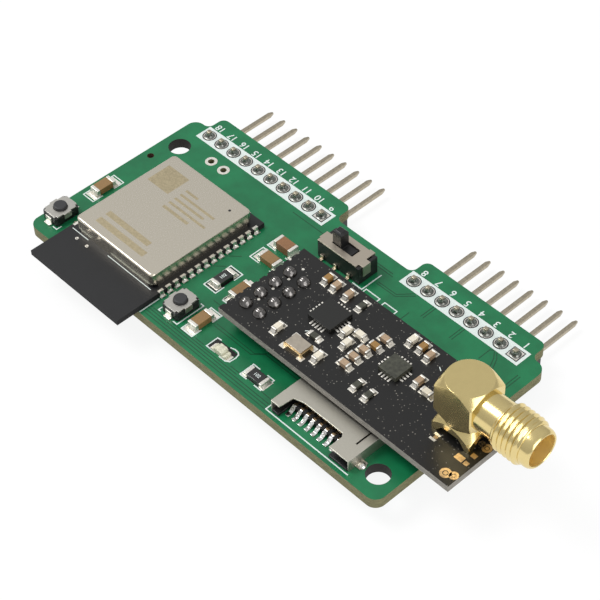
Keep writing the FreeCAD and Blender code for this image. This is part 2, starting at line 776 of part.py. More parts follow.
def make_button(name):
    """A flat push button: moulded base, dome spring, plunger under a pressed cover, and leads."""
    where = (f"{name}_button_x", f"{name}_button_y", "board_thickness")
    half_width = "button_width / 2"
    half_length = "button_length / 2"
    cover_top = "button_base_height + button_cover_thickness"
    flange_top = "(button_base_height - plunger_fit)"
    flange_low = f"({flange_top} - plunger_flange_height)"
    recess_floor = f"({flange_low} - button_travel - dome_gap - dome_height)"

    base = new_body(f"{name}_button_base", where)
    body_outline = rectangle(
        sketch_on(base, "XY"), f"-{half_width}", f"-{half_length}", half_width, half_length
    )
    pad(base, body_outline, "button_base_height")
    dress(base, "Chamfer", "button_corner", is_upright)
    recess = circle(sketch_on(base, "XY", "button_base_height"), "0", "0", "button_recess_radius")
    pocket(base, recess, f"button_base_height - {recess_floor}")

    cover = new_body(f"{name}_button_cover", where)
    edge_x = "button_cover_width / 2"
    edge_y = "button_cover_length / 2"
    step_x = f"{edge_x} - button_cover_notch"
    step_y = f"{edge_y} - button_cover_notch"
    quarter = [(edge_x, step_y), (step_x, step_y), (step_x, edge_y)]
    corners = []
    for sign_x, sign_y in (("", ""), ("-", ""), ("-", "-"), ("", "-")):
        turn = [(f"{sign_x}({x})", f"{sign_y}({y})") for x, y in quarter]
        corners += turn if sign_x == sign_y else turn[::-1]
    pad(cover, outline(sketch_on(cover, "XY", "button_base_height"), corners), "button_cover_thickness")
    outer = f"({half_width} + button_tab_thickness)"
    for side in ("", "-"):
        arm = sketch_on(cover, "XZ")
        outline(arm, [
            (f"{side}({edge_x} - button_cover_notch)", "button_base_height"),
            (f"{side}{half_width}", "button_base_height"),
            (f"{side}{half_width}", "button_base_height - button_tab_drop"),
            (f"{side}{outer}", "button_base_height - button_tab_drop"),
            (f"{side}{outer}", cover_top),
            (f"{side}({edge_x} - button_cover_notch)", cover_top),
        ])
        pad(cover, arm, "button_tab_width", symmetric=True)
    pocket(cover, circle(sketch_on(cover, "XY", cover_top), "0", "0", "plunger_radius + plunger_fit"))

    plunger = new_body(f"{name}_button_plunger", where)
    stem_top = f"{cover_top} + plunger_rise"
    turned(plunger, outline(sketch_on(plunger, "XZ"), [
        ("0", flange_low),
        ("plunger_flange_radius", flange_low),
        ("plunger_flange_radius", flange_top),
        ("plunger_radius", flange_top),
        ("plunger_radius", f"{stem_top} - plunger_edge"),
        ("plunger_radius - plunger_edge", stem_top),
        ("0", stem_top),
    ]), "Z")

    dome = new_body(f"{name}_button_dome", where)
    crown = f"{recess_floor} + dome_height"
    shoulder = f"{recess_floor} + dome_shoulder_height"
    turned(dome, outline(sketch_on(dome, "XZ"), [
        ("dome_radius", recess_floor),
        ("dome_shoulder_radius", shoulder),
        ("0", crown),
        ("0", f"{crown} - dome_thickness"),
        ("dome_shoulder_radius", f"{shoulder} - dome_thickness"),
        ("dome_radius - 2 * dome_thickness", recess_floor),
    ]), "Z")

    leads = new_body(f"{name}_button_leads", where)
    for side in ("", "-"):
        lead = sketch_on(leads, "YZ")
        outline(lead, [
            (f"{side}{half_length}", "0"),
            (f"{side}({half_length} + button_lead_reach)", "0"),
            (f"{side}({half_length} + button_lead_reach)", "button_lead_thickness"),
            (f"{side}({half_length} + button_lead_thickness)", "button_lead_thickness"),
            (f"{side}({half_length} + button_lead_thickness)", "button_lead_rise"),
            (f"{side}{half_length}", "button_lead_rise"),
        ])
        pad(leads, lead, "button_lead_width", symmetric=True)


# Slide switch


def make_slide_switch():
    """The switch: open moulding, pressed cover with a slot, leads, and the knob with its contact."""
    inner_top = "switch_height - switch_sheet"
    right = "switch_length - switch_sheet"
    lead_top = "switch_floor + switch_lead_thickness"

    housing = new_body("slide_switch_housing", SWITCH_PLACE)
    pad(housing, rectangle(sketch_on(housing, "XY"), "switch_sheet", "0", right, "switch_width"), inner_top)
    cavity = rectangle(
        sketch_on(housing, "XY", inner_top),
        "switch_sheet + switch_wall", "switch_wall", f"{right} - switch_wall", "switch_width - switch_wall",
    )
    pocket(housing, cavity, f"{inner_top} - switch_floor")
    channel = rectangle(
        sketch_on(housing, "YZ", "switch_lead_first"), "0", "switch_floor", "switch_wall", lead_top
    )
    lead_row = "switch_length - switch_lead_first - switch_lead_last"
    channels = [pocket(housing, channel, "switch_lead_width", symmetric=True)]
    row(housing, "X", "switch_leads", lead_row, channels)

    cover = new_body("slide_switch_cover", SWITCH_PLACE)
    notch = "switch_notch"
    plate = outline(sketch_on(cover, "XY", inner_top), [
        ("switch_sheet", "0"),
        (f"{right} - {notch}", "0"),
        (f"{right} - {notch}", notch),
        ("switch_length", notch),
        ("switch_length", f"{notch} + switch_flap_width"),
        (f"{right} - {notch}", f"{notch} + switch_flap_width"),
        (f"{right} - {notch}", "switch_width"),
        (f"switch_sheet + {notch}", "switch_width"),
        (f"switch_sheet + {notch}", f"{notch} + switch_flap_width"),
        ("0", f"{notch} + switch_flap_width"),
        ("0", notch),
        ("switch_sheet", notch),
    ])
    pad(cover, plate, "switch_sheet")
    flap_low = f"{inner_top} - switch_flap_drop"
    for low_x, high_x in (("0", "switch_sheet"), (right, "switch_length")):
        flap_back = f"{notch} + switch_flap_width"
        flap = rectangle(sketch_on(cover, "XY", flap_low), low_x, notch, high_x, flap_back)
        pad(cover, flap, "switch_flap_drop")
    lug_right = f"{right} - {notch}"
    lug = outline(sketch_on(cover, "YZ", f"{lug_right} - switch_lug_width"), [
        ("switch_width - switch_sheet", "switch_height"),
        ("switch_width - switch_sheet", inner_top),
        ("switch_width", inner_top),
        ("switch_width", "switch_height - switch_lug_drop"),
        ("switch_width + switch_lug_reach", "switch_height - switch_lug_drop"),
        ("switch_width + switch_lug_reach", "switch_height - switch_lug_drop + switch_sheet"),
        ("switch_width + switch_sheet", "switch_height - switch_lug_drop + switch_sheet"),
        ("switch_width + switch_sheet", "switch_height"),
    ])
    pad(cover, lug, "switch_lug_width")
    slot_right = "switch_slot_x + knob_length + knob_travel + 2 * knob_fit"
    slot_back = "switch_slot_y + knob_width + 2 * knob_fit"
    slot_sketch = sketch_on(cover, "XY", "switch_height")
    slot = rectangle(slot_sketch, "switch_slot_x", "switch_slot_y", slot_right, slot_back)
    pocket(cover, slot, "switch_sheet")

    leads = new_body("slide_switch_leads", SWITCH_PLACE)
    lead = outline(sketch_on(leads, "YZ", "switch_lead_first"), [
        ("switch_width / 2 + wiper_width / 2", "switch_floor"),
        ("switch_width / 2 + wiper_width / 2", lead_top),
        ("-switch_lead_thickness", lead_top),
        ("-switch_lead_thickness", "switch_lead_thickness"),
        ("-switch_lead_reach", "switch_lead_thickness"),
        ("-switch_lead_reach", "0"),
        ("0", "0"),
        ("0", "switch_floor"),
    ])
    pad(leads, lead, "switch_lead_width", symmetric=True)
    row(leads, "X", "switch_leads", lead_row)

    knob = new_body("slide_switch_knob", SWITCH_PLACE)
    block_low = f"{lead_top} + slider_fit + wiper_thickness"
    block_left = "switch_sheet + switch_wall + slider_fit"
    block_right = f"{right} - switch_wall - slider_fit - knob_travel"
    block = rectangle(
        sketch_on(knob, "XY", block_low),
        block_left, "switch_wall + slider_fit", block_right, "switch_width - switch_wall - slider_fit",
    )
    pad(knob, block, f"{inner_top} - slider_fit - ({block_low})")
    stem = rectangle(
        sketch_on(knob, "XY", f"{inner_top} - slider_fit"),
        "switch_slot_x + knob_fit", "switch_slot_y + knob_fit",
        "switch_slot_x + knob_fit + knob_length", "switch_slot_y + knob_fit + knob_width",
    )
    pad(knob, stem, "switch_sheet + slider_fit + knob_rise")
    dress(knob, "Chamfer", "knob_chamfer", is_level_at("switch_height + knob_rise"))
    box_node(
        "slide_switch_wiper",
        ("switch_slot_x + knob_fit + knob_length / 2 - wiper_length / 2", "switch_width / 2 - wiper_width / 2",
         f"{lead_top} + slider_fit"),
        ("wiper_length", "wiper_width", "wiper_thickness"),
        SWITCH_PLACE,
    )


# Card socket


def make_card_socket():
    """The memory card socket: pressed shell, moulded tray and sprung contacts."""
    shell = new_body("card_socket_shell", SOCKET_PLACE)
    inner_right = "socket_width - socket_wall"
    inner_back = "socket_length - socket_wall"
    ceiling = "socket_height - socket_wall"
    pad(shell, rectangle(sketch_on(shell, "XY"), "0", "0", "socket_width", "socket_length"), "socket_height")
    hollow = rectangle(sketch_on(shell, "XY"), "socket_wall", "-cut_margin", inner_right, inner_back)
    pocket(shell, hollow, ceiling, reverse=True)
    cut = outline(sketch_on(shell, "XY", "socket_height"), [
        ("socket_cut_left", "-cut_margin"),
        ("socket_cut_right", "-cut_margin"),
        ("socket_cut_right", "socket_cut_depth - socket_cut_shoulder"),
        ("socket_cut_right - socket_cut_corner", "socket_cut_depth"),
        ("socket_cut_left + socket_cut_slope", "socket_cut_depth"),
        ("socket_cut_left + socket_cut_corner", "socket_cut_depth - socket_cut_shoulder"),
    ])
    pocket(shell, cut, "socket_wall")
    slot_right = "socket_width - socket_slot_inset"
    slot = rectangle(
        sketch_on(shell, "XY", "socket_height"),
        f"{slot_right} - socket_slot_width", "socket_cut_depth",
        slot_right, "socket_cut_depth + socket_slot_length",
    )
    pocket(shell, slot, "socket_wall")
    tabs = sketch_on(shell, "XY")
    for front in ("socket_tab_front", "socket_tab_back"):
        rectangle(tabs, "-socket_tab_reach", front, "0", f"{front} + socket_tab_length")
        tab_right = "socket_width + socket_tab_reach"
        rectangle(tabs, "socket_width", front, tab_right, f"{front} + socket_tab_length")
    pad(shell, tabs, "socket_wall")

    tray = new_body("card_socket_tray", SOCKET_PLACE)
    tray_outline = outline(sketch_on(tray, "XY"), [
        ("socket_wall", "-socket_nose"),
        ("socket_cut_left", "-socket_nose"),
        ("socket_cut_left", "socket_cut_depth"),
        ("socket_cut_right", "socket_cut_depth"),
        ("socket_cut_right", "-socket_nose"),
        (inner_right, "-socket_nose"),
        (inner_right, inner_back),
        ("socket_wall", inner_back),
    ])
    pad(tray, tray_outline, "socket_floor")

    contacts = new_body("card_socket_contacts", SOCKET_PLACE)
    thick = "socket_contact_thickness"
    underside = [
        ("socket_contact_foot", "0"),
        ("socket_contact_foot + socket_contact_foot_length", "0"),
        ("socket_contact_hump_start", "socket_contact_hump_height"),
        ("socket_contact_hump_end", "socket_contact_hump_height"),
        ("socket_contact_flat_start", "socket_floor"),
        ("socket_contact_flat_end", "socket_floor"),
        ("socket_contact_crest_start", "socket_contact_crest"),
        ("socket_contact_tip", "socket_contact_tip_height"),
    ]
    top_side = [(along, f"{height} + {thick}") for along, height in reversed(underside)]
    contact = outline(sketch_on(contacts, "YZ", "socket_contact_first"), underside + top_side)
    pad(contacts, contact, "socket_contact_width", symmetric=True)
    row(contacts, "X", "socket_contacts", "socket_contact_pitch * (socket_contacts - 1)")


# Radio board and its parts


def make_radio_board():
    board = new_body("radio_board", RADIO_PLACE)
    pad(board, rectangle(sketch_on(board, "XY"), "0", "0", "radio_length", "radio_width"), "radio_thickness")
    edge_sketch = sketch_on(board, "XY", "radio_thickness")
    half_hole = circle(edge_sketch, "0", "radio_half_hole_first", "radio_half_hole")
    half_row = "radio_half_hole_pitch * (radio_half_holes - 1)"
    row(board, "Y", "radio_half_holes", half_row, [pocket(board, half_hole)])
    posts = sketch_on(board, "XY", "radio_thickness")
    coax_x = "(radio_length - coax_inset)"
    for side_x in ("+", "-"):
        for side_y in ("+", "-"):
            x = f"{coax_x} {side_x} coax_post_spacing / 2"
            y = f"coax_y {side_y} coax_post_spacing / 2"
            circle(posts, x, y, "coax_post_radius + coax_post_fit")
    circle(posts, coax_x, "coax_y", "coax_contact_radius + coax_post_fit")
    pocket(board, posts)
    start = ("spacer_x - radio_left", "spacer_y - radio_front")
    pin_holes(board, "radio_thickness", "spacer_columns", "spacer_rows", start)


def centred_box(centre_x, centre_y, low, length, width, height):
    corner = Vector(centre_x - length / 2, centre_y - width / 2, low)
    return Part.makeBox(length, width, height, corner)


def make_flat_chips():
    """Two no-lead chips with the bright lands that show round them, and the crystal's can."""
    top = value("radio_thickness")
    lands = []
    reach = value("chip_land_reach")
    width = value("chip_land_width")
    height = value("chip_land_height")
    for name in ("large", "small"):
        half = f"{name}_chip_side / 2"
        corner = (f"{name}_chip_x - {half}", f"{name}_chip_y - {half}", "radio_thickness")
        size = (f"{name}_chip_side", f"{name}_chip_side", "flat_chip_height")
        box_node(f"radio_chip_{name}", corner, size, RADIO_PLACE)
        centre_x, centre_y = value(f"{name}_chip_x"), value(f"{name}_chip_y")
        per_side = int(value(f"{name}_chip_lands"))
        for number in range(per_side):
            along = (number - (per_side - 1) / 2) * value("chip_land_pitch")
            for way in (-1, 1):
                out = way * (value(half) + reach / 2)
                lands.append(centred_box(centre_x + out, centre_y + along, top, reach, width, height))
                lands.append(centred_box(centre_x + along, centre_y + out, top, width, reach, height))
    shape_node("radio_chip_lands", Part.makeCompound(lands), RADIO_PLACE)
    box_node("crystal_base", ("can_x - can_length / 2", "can_y - can_width / 2", "radio_thickness"),
             ("can_length", "can_width", "can_base_height"), RADIO_PLACE)
    inset = "can_lid_inset"
    box_node("crystal_lid",
             (f"can_x - can_length / 2 + {inset}", f"can_y - can_width / 2 + {inset}",
              "radio_thickness + can_base_height"),
             (f"can_length - 2 * {inset}", f"can_width - 2 * {inset}", "can_lid_height"), RADIO_PLACE)


def two_ended_part(x, y, level, lies_along, family, height):
    """The ceramic middle and the two soldered ends of a small part, at a place on its board."""
    half = value(f"{family}_part_length") / 2
    width = value(f"{family}_part_width")
    end = value(f"{family}_end_length")
    reach = value(f"{family}_solder_reach")
    middle = centred_box(0, 0, 0, 2 * (half - end), width, height)
    shoulder = height * value("part_end_shoulder")
    profile = [(half - end, 0), (half + reach, 0), (half, shoulder), (half, height), (half - end, height)]
    points = [Vector(x_place, -width / 2, z_place) for x_place, z_place in profile]
    cap = Part.Face(Part.makePolygon(points + points[:1])).extrude(Vector(0, width, 0))
    far_cap = cap.rotated(Vector(0, 0, 0), Vector(0, 0, 1), 180)
    turn = 90 if lies_along == "Y" else 0
    pieces = [piece.rotated(Vector(0, 0, 0), Vector(0, 0, 1), turn) for piece in (middle, cap, far_cap)]
    for piece in pieces:
        piece.translate(Vector(x, y, level))
    return pieces


def make_two_ended(groups, ends_label, family, level, where):
    """Nodes for the middles of each group, by colour, and one node for all their ends."""
    ends = []
    heights = {"radio_resistors": "small_resistor_height", "board_resistors": "large_resistor_height",
               "board_brown_part": "brown_part_height"}
    for label, places in groups.items():
        height = value(heights.get(label, f"{family}_part_height"))
        middles = []
        for x, y, lies_along in places:
            middle, *caps = two_ended_part(x, y, value(level), lies_along, family, height)
            middles.append(middle)
            ends += caps
        shape_node(label, Part.makeCompound(middles), where)
    shape_node(ends_label, Part.makeCompound(ends), where)


def make_light():
    corner = ("light_x - light_length / 2", "light_y - light_width / 2", "0")
    size = ("light_length", "light_width", "light_base_height")
    box_node("light_base", corner, size, ("0", "0", "board_thickness"))
    lens = new_body("light_lens", ("light_x", "light_y", "board_thickness + light_base_height"))
    half = "light_lens_length / 2"
    section = rectangle(sketch_on(lens, "XY"), f"-{half}", "-light_width / 2", half, "light_width / 2")
    pad(lens, section, "light_lens_height")
    is_top_edge = is_level_at("light_lens_height")
    dress(lens, "Chamfer", "light_lens_height / 2", lambda box: is_top_edge(box) and box.XLength < 1e-4)


# Coax connector


def make_coax_connector():
    """A right-angle connector: a square block with a turned bevel and waist, arched between four
    legs with posts, and a threaded barrel with its insulator and centre contact."""
    half = "coax_side / 2"
    block = new_body("coax_body", COAX_PLACE)
    section = rectangle(sketch_on(block, "XY"), f"-{half}", f"-{half}", half, half)
    pad(block, section, "coax_block_top")

    bevel_low = "coax_block_top - coax_bevel_height"
    corner_cut = outline(sketch_on(block, "XZ"), [
        ("coax_side", "coax_foot_edge"),
        ("coax_side", "coax_block_top + cut_margin"),
        ("coax_bevel_radius", "coax_block_top + cut_margin"),
        ("coax_bevel_radius", "coax_block_top"),
        ("coax_corner_radius", bevel_low),
        ("coax_corner_radius", "coax_waist_high + coax_waist_flank"),
        ("coax_waist_radius", "coax_waist_high"),
        ("coax_waist_radius", "coax_waist_low"),
        ("coax_flank_radius", "coax_foot_edge"),
    ])
    turned(block, corner_cut, "Z", "Groove")

    for plane in ("XZ", "YZ"):
        arch = outline(sketch_on(block, plane), [
            ("-coax_arch_foot / 2", "0"),
            ("coax_arch_foot / 2", "0"),
            ("coax_arch_head / 2", "coax_arch_height"),
            ("-coax_arch_head / 2", "coax_arch_height"),
        ])
        pocket(block, arch, symmetric=True)

    posts = sketch_on(block, "XY", "coax_arch_height")
    for side_x in ("", "-"):
        for side_y in ("", "-"):
            x = f"{side_x}coax_post_spacing / 2"
            y = f"{side_y}coax_post_spacing / 2"
            circle(posts, x, y, "coax_post_radius")
    pad(block, posts, "coax_arch_height + coax_post_length", reverse=True)

    barrel = circle(sketch_on(block, "YZ", half), "0", "coax_axis_height", "coax_neck_radius")
    pad(block, barrel, "coax_neck_length")
    thread_start = sketch_on(block, "YZ", f"{half} + coax_neck_length")
    thread = circle(thread_start, "0", "coax_axis_height", "coax_thread_radius")
    pad(block, thread, "coax_thread_length")
    thread_end = f"{half} + coax_neck_length + coax_thread_length"
    nose = circle(sketch_on(block, "YZ", thread_end), "0", "coax_axis_height", "coax_nose_radius")
    pad(block, nose, "coax_reach - coax_neck_length - coax_thread_length")
    thread_width = value("2 * coax_thread_radius")
    dress(block, "Chamfer", "coax_thread_chamfer",
          lambda box: box.XLength < 1e-4 and is_near(box.YLength, thread_width))
    rim = value(f"{half} + coax_reach")
    dress(block, "Chamfer", "coax_rim_chamfer", lambda box: box.XLength < 1e-4 and is_near(box.XMin, rim))
    rim_sketch = sketch_on(block, "YZ", f"{half} + coax_reach")
    mouth = circle(rim_sketch, "0", "coax_axis_height", "coax_mouth_radius")
    pocket(block, mouth, "coax_mouth_depth")
    bore = circle(sketch_on(block, "YZ", f"{half} + coax_reach"), "0", "coax_axis_height", "coax_bore_radius")
    pocket(block, bore, f"{half} + coax_reach")
    well = circle(sketch_on(block, "XY", "coax_arch_height"), "0", "0", "coax_bore_radius")
    pocket(block, well, "coax_axis_height - coax_arch_height", reverse=True)

    insulator_end = f"{half} + coax_reach - coax_mouth_depth"
    insulator_radius = "coax_bore_radius - coax_insulator_fit"
    contact_hole = "coax_contact_radius + coax_contact_fit"
    insulator = new_body("coax_insulator", COAX_PLACE)
    level_part = circle(sketch_on(insulator, "YZ", "0"), "0", "coax_axis_height", insulator_radius)
    pad(insulator, level_part, insulator_end)
    down_part = circle(sketch_on(insulator, "XY", "coax_arch_height"), "0", "0", insulator_radius)
    pad(insulator, down_part, "coax_axis_height - coax_arch_height")
    level_hole = circle(sketch_on(insulator, "YZ", insulator_end), "0", "coax_axis_height", contact_hole)
    pocket(insulator, level_hole, f"{insulator_end} + {contact_hole}")
    down_hole = circle(sketch_on(insulator, "XY", "coax_arch_height"), "0", "0", contact_hole)
    pocket(insulator, down_hole, "coax_axis_height - coax_arch_height", reverse=True)

    contact = new_body("coax_contact", COAX_PLACE)
    level_pin = circle(sketch_on(contact, "YZ", "0"), "0", "coax_axis_height", "coax_contact_radius")
    contact_end = f"{insulator_end} + coax_contact_reach"
    pad(contact, level_pin, contact_end)
    down_pin = circle(sketch_on(contact, "XY", "-coax_post_length"), "0", "0", "coax_contact_radius")
    pad(contact, down_pin, "coax_axis_height + coax_post_length")
    socket = circle(sketch_on(contact, "YZ", contact_end), "0", "coax_axis_height", "coax_contact_socket")
    pocket(contact, socket, "coax_contact_slit_depth")
    slit_half = "coax_contact_slit / 2"
    slit = rectangle(sketch_on(contact, "XZ"), f"{contact_end} - coax_contact_slit_depth",
                     f"coax_axis_height - {slit_half}",
                     f"{contact_end} + cut_margin", f"coax_axis_height + {slit_half}")
    pocket(contact, slit, symmetric=True)


make_main_board()
make_header("long")
make_header("short")
make_spacer_header()
make_wifi_module()
make_button("boot")
make_button("enable")
make_slide_switch()
make_card_socket()
make_radio_board()
make_flat_chips()
make_two_ended(RADIO_PARTS, "radio_part_ends", "small", "radio_thickness", RADIO_PLACE)
make_two_ended(BOARD_PARTS, "board_part_ends", "large", "board_thickness", ("0", "0", "0"))
make_light()
make_coax_connector()

doc.recompute()
for item in doc.Objects:
    if "Invalid" in item.State or "Error" in item.State:
        raise RuntimeError(f"{item.Name} failed: {item.State}")
os.makedirs("parts", exist_ok=True)
for node in nodes:
    if node.Shape.isNull() or not node.Shape.isValid():
        raise RuntimeError(f"{node.Label} has no valid shape")
for node in nodes:
    node.Shape.exportStep(f"parts/{node.Label}.step")
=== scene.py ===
"""Looks of a small wifi board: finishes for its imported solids, and the print, pads, solder joints,
softened edges and fine thread that the solids leave out."""

import math

import bmesh
import bpy
from bpy.props import FloatProperty, FloatVectorProperty, PointerProperty
from mathutils import Matrix, Vector


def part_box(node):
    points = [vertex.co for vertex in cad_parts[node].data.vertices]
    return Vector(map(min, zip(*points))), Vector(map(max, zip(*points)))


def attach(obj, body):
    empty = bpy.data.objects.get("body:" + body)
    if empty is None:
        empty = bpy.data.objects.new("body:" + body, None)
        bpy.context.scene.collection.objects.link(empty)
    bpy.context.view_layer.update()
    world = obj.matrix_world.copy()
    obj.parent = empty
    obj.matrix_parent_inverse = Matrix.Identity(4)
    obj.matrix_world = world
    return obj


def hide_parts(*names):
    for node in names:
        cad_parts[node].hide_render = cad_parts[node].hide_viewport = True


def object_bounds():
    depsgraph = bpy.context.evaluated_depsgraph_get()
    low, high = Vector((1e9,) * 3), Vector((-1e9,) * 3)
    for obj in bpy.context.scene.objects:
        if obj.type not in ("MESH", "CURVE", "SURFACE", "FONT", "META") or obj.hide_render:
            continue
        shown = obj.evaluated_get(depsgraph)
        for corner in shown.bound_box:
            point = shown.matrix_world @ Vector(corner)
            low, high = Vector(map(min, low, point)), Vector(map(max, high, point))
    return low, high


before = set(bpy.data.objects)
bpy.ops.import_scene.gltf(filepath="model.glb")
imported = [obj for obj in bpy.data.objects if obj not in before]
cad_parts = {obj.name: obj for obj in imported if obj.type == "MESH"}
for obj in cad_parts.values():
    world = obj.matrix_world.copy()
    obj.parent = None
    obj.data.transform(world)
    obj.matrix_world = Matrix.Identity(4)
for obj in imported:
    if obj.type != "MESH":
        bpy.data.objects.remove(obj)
CAD_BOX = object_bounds()

bl_info = {
    "name": "Wifi Board Looks",
    "version": (1, 0, 0),
    "blender": (4, 5, 0),
    "location": "View3D > Sidebar > Wifi Board",
    "description": "Finishes and fine pieces of a wifi board",
    "category": "Object",
}

MM = 0.001
BOARD = "board"
BOARD_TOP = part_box("main_board")[1].z
MODULE_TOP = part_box("wifi_module_board")[1].z
RADIO_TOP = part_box("radio_board")[1].z
PIN_PITCH = 2.54 * MM


def linear(hex_code):
    """An sRGB hex colour as linear red, green, blue and alpha."""
    channels = [int(hex_code[place:place + 2], 16) / 255 for place in (0, 2, 4)]
    return [c / 12.92 if c <= 0.04045 else ((c + 0.055) / 1.055) ** 2.4 for c in channels] + [1.0]


def colour(name, text, hex_code):
    """A colour that a user may change."""
    return FloatVectorProperty(
        name=name, description=text, subtype="COLOR", size=4, min=0.0, max=1.0, default=linear(hex_code)
    )


def length(name, text, size):
    """A length that a user may change, by its size in millimetres."""
    return FloatProperty(name=name, description=text, default=size * MM, unit="LENGTH", precision=5)


class BoardColours(bpy.types.PropertyGroup):
    """Colours of the finishes."""

    green_mask: colour("Green mask", "Solder mask of the main board", "0E6C42")
    green_mask_dark: colour("Green mask, dark", "Mask over the gaps beside tracks", "0B4A2C")
    green_edge: colour("Main board edge", "Cut glass fibre laminate", "6E6B4A")
    black_mask: colour("Black mask", "Solder mask of the radio board", "0C0B0A")
    black_edge: colour("Radio board edge", "Cut laminate under the black mask", "85817A")
    dust: colour("Dust", "Pale dust in the black mask", "7E7A72")
    module_mask: colour("Module mask", "Solder mask of the wifi module", "0E0E10")
    ink: colour("Print", "White ink printed on the boards", "D6DFDB")
    shield_steel: colour("Shield", "Plated sheet of the wifi shield", "DAD2C2")
    switch_steel: colour("Switch cover", "Plated sheet of the switch and buttons", "BDB3A4")
    button_steel: colour("Button cover", "Plated sheet of the button covers", "BEBBB4")
    socket_steel: colour("Card socket", "Plated sheet of the card socket", "C2BEB2")
    pin_plate: colour("Pins", "Pale plating of the header pins", "B5AB97")
    gold_pad: colour("Gold pads", "Gold flash on bare pads", "CBB08C")
    coax_gold: colour("Coax gold", "Gold plating of the coax connector", "E4CF92")
    # Painted light: a paler gold inside the mouth that stands in for light reaching deep into it
    bore_gold: colour("Coax mouth", "Gold plating inside the mouth", "FFE8A6")
    solder: colour("Solder", "Bright solder", "E6E3DC")
    joint_solder: colour("Header solder", "Duller solder of the edge headers", "7E807B")
    laser_mark: colour("Laser mark", "Fields burnt into the shield", "B9AC8E")
    # Painted shade: the hole walls' dark colour stands in for the shade inside the drilled holes
    hole_wall: colour("Hole wall", "Drilled glass fibre, in shade", "1C1713")
    # Painted shade: the tooling hole's dark brown stands in for the shade inside it; no stain is drawn
    via_wall: colour("Tooling hole", "Resin-stained tooling hole", "4A2C1C")
    # Painted reflection: a dark solder that stands in for the dark surroundings its glossy joints mirror;
    # no flux is drawn
    fluxed_solder: colour("Fluxed solder", "Hand-soldered joints under clear flux", "757270")
    tin_end: colour("Tin ends", "Tinned ends of small parts", "ECE8DF")
    tan_ceramic: colour("Tan ceramic", "Fired capacitor body", "8A6B42")
    brown_ceramic: colour("Brown ceramic", "Darker fired capacitor body", "86603F")
    pink_ceramic: colour("Pale tan ceramic", "Small capacitors of the radio board", "A88F74")
    golden_ceramic: colour("Golden ceramic", "Golden brown capacitors of the radio board", "94703C")
    white_ceramic: colour("White ceramic", "Pale ceramic of coils and chip parts", "E0D8C6")
    black_plastic: colour("Black plastic", "Moulded header and switch plastic", "111112")
    plunger_grey: colour("Plunger", "Moulded button plunger", "2C2C2E")
    chip_resin: colour("Chip resin", "Moulded chip body", "11110E")
    worn_resin: colour("Worn chip resin", "Chip body greyed by flux cleaning", "3D3E34")
    crystal_rim: colour("Crystal rim", "Gold rim of the crystal can", "C9B084")
    lens: colour("Lens", "Clear resin of the light", "CFCDB6")
    insulator: colour("Insulator", "White coax insulator", "E6E4DC")
    backdrop: colour("Backdrop", "Plain pale floor", "FFFFFF")
    horizon: colour("Horizon", "Studio walls as the object mirrors them", "B8B8B8")
    sky: colour("Ceiling", "Studio ceiling as the object mirrors it", "D2D3D4")


class BoardSizes(bpy.types.PropertyGroup):
    """Sizes of what this file adds to the solids."""

    ink_depth: length("Ink depth", "Height of print, pads and mask gaps over a board", 0.012)
    ink_line: length("Printed line", "Width of a printed outline", 0.17)
    track_gap: length("Track gap", "Width of the dark gap beside a track", 0.13)
    digit_height: length("Digit height", "Height of the printed pin numbers", 1.5)
    plastic_edge: length("Plastic edge", "Rounding of moulded edges", 0.06)
    pin_edge: length("Pin edge", "Rounding of the drawn header pins", 0.12)
    sheet_edge: length("Sheet edge", "Rounding of pressed sheet edges", 0.04)
    ceramic_edge: length("Ceramic edge", "Rounding of the small parts", 0.07)
    block_edge: length("Block edge", "Rounding of the milled coax block", 0.05)
    thread_pitch: length("Thread pitch", "Pitch of the coax thread", 0.7056)
    thread_depth: length("Thread depth", "Depth of the coax thread", 0.26)


def colours():
    """The colours as they are set."""
    return bpy.context.scene.board_colours


def sizes():
    """The sizes as they are set."""
    return bpy.context.scene.board_sizes


# Materials

# Solder mask: size of its clouds and their spread of tone, its grain and that grain's depth in
# millimetres, and the spacing of the dust, which is drawn coarser than it is so that it shows
MASK_CLOUD, MASK_SPREAD = 3 * MM, 0.12
MASK_GRAIN, MASK_GRAIN_DEPTH = 0.5, 0.004
DUST_SPACING = 0.4 * MM
# Sawn edge of a board: length of a fibre bundle, how many times longer than high it is, its darkest
# and palest tone as shares of the edge colour, and its roughness
FIBRE_LENGTH, FIBRE_FLATNESS = 0.9 * MM, 9.0
FIBRE_DARK, FIBRE_PALE = 0.7, 1.25
SAWN_ROUGHNESS = 0.8
# A normal that is more upright than this is a face of a board and no edge
FACE_UPRIGHT = 0.5
# Share by which a metal's roughness varies with its grain
POLISH_SPREAD = 0.06


def add_node(tree, kind, settings=None, links=None):
    """A node with its settings, which are input sockets or properties by name, and its links."""
    node = tree.nodes.new(kind)
    for name, setting in (settings or {}).items():
        if isinstance(name, int) or name in node.inputs:
            node.inputs[name].default_value = setting
        else:
            setattr(node, name, setting)
    for name, source in (links or {}).items():
        tree.links.new(source, node.inputs[name])
    return node


def start_material(name, roughness, metallic=0.0):
    """A material with a plain shader, its tree, the shader and the object's own coordinates."""
    material = bpy.data.materials.new(name)
    material.use_nodes = True
    tree = material.node_tree
    tree.nodes.clear()
    shader = add_node(tree, "ShaderNodeBsdfPrincipled", {"Roughness": roughness, "Metallic": metallic})
    add_node(tree, "ShaderNodeOutputMaterial", links={"Surface": shader.outputs["BSDF"]})
    coordinates = add_node(tree, "ShaderNodeTexCoord").outputs["Object"]
    return material, tree, shader, coordinates


def add_grain(tree, shader, coordinates, grain, depth):
    """Fine bump from noise of a real grain and depth in millimetres, and the noise for other uses."""
    noise = add_node(tree, "ShaderNodeTexNoise", {"Scale": 1 / (grain * MM), "Detail": 3.0},
                     {"Vector": coordinates}).outputs["Fac"]
    bump = add_node(tree, "ShaderNodeBump", {"Distance": depth * MM, "Strength": 1.0}, {"Height": noise})
    tree.links.new(bump.outputs["Normal"], shader.inputs["Normal"])
    return noise


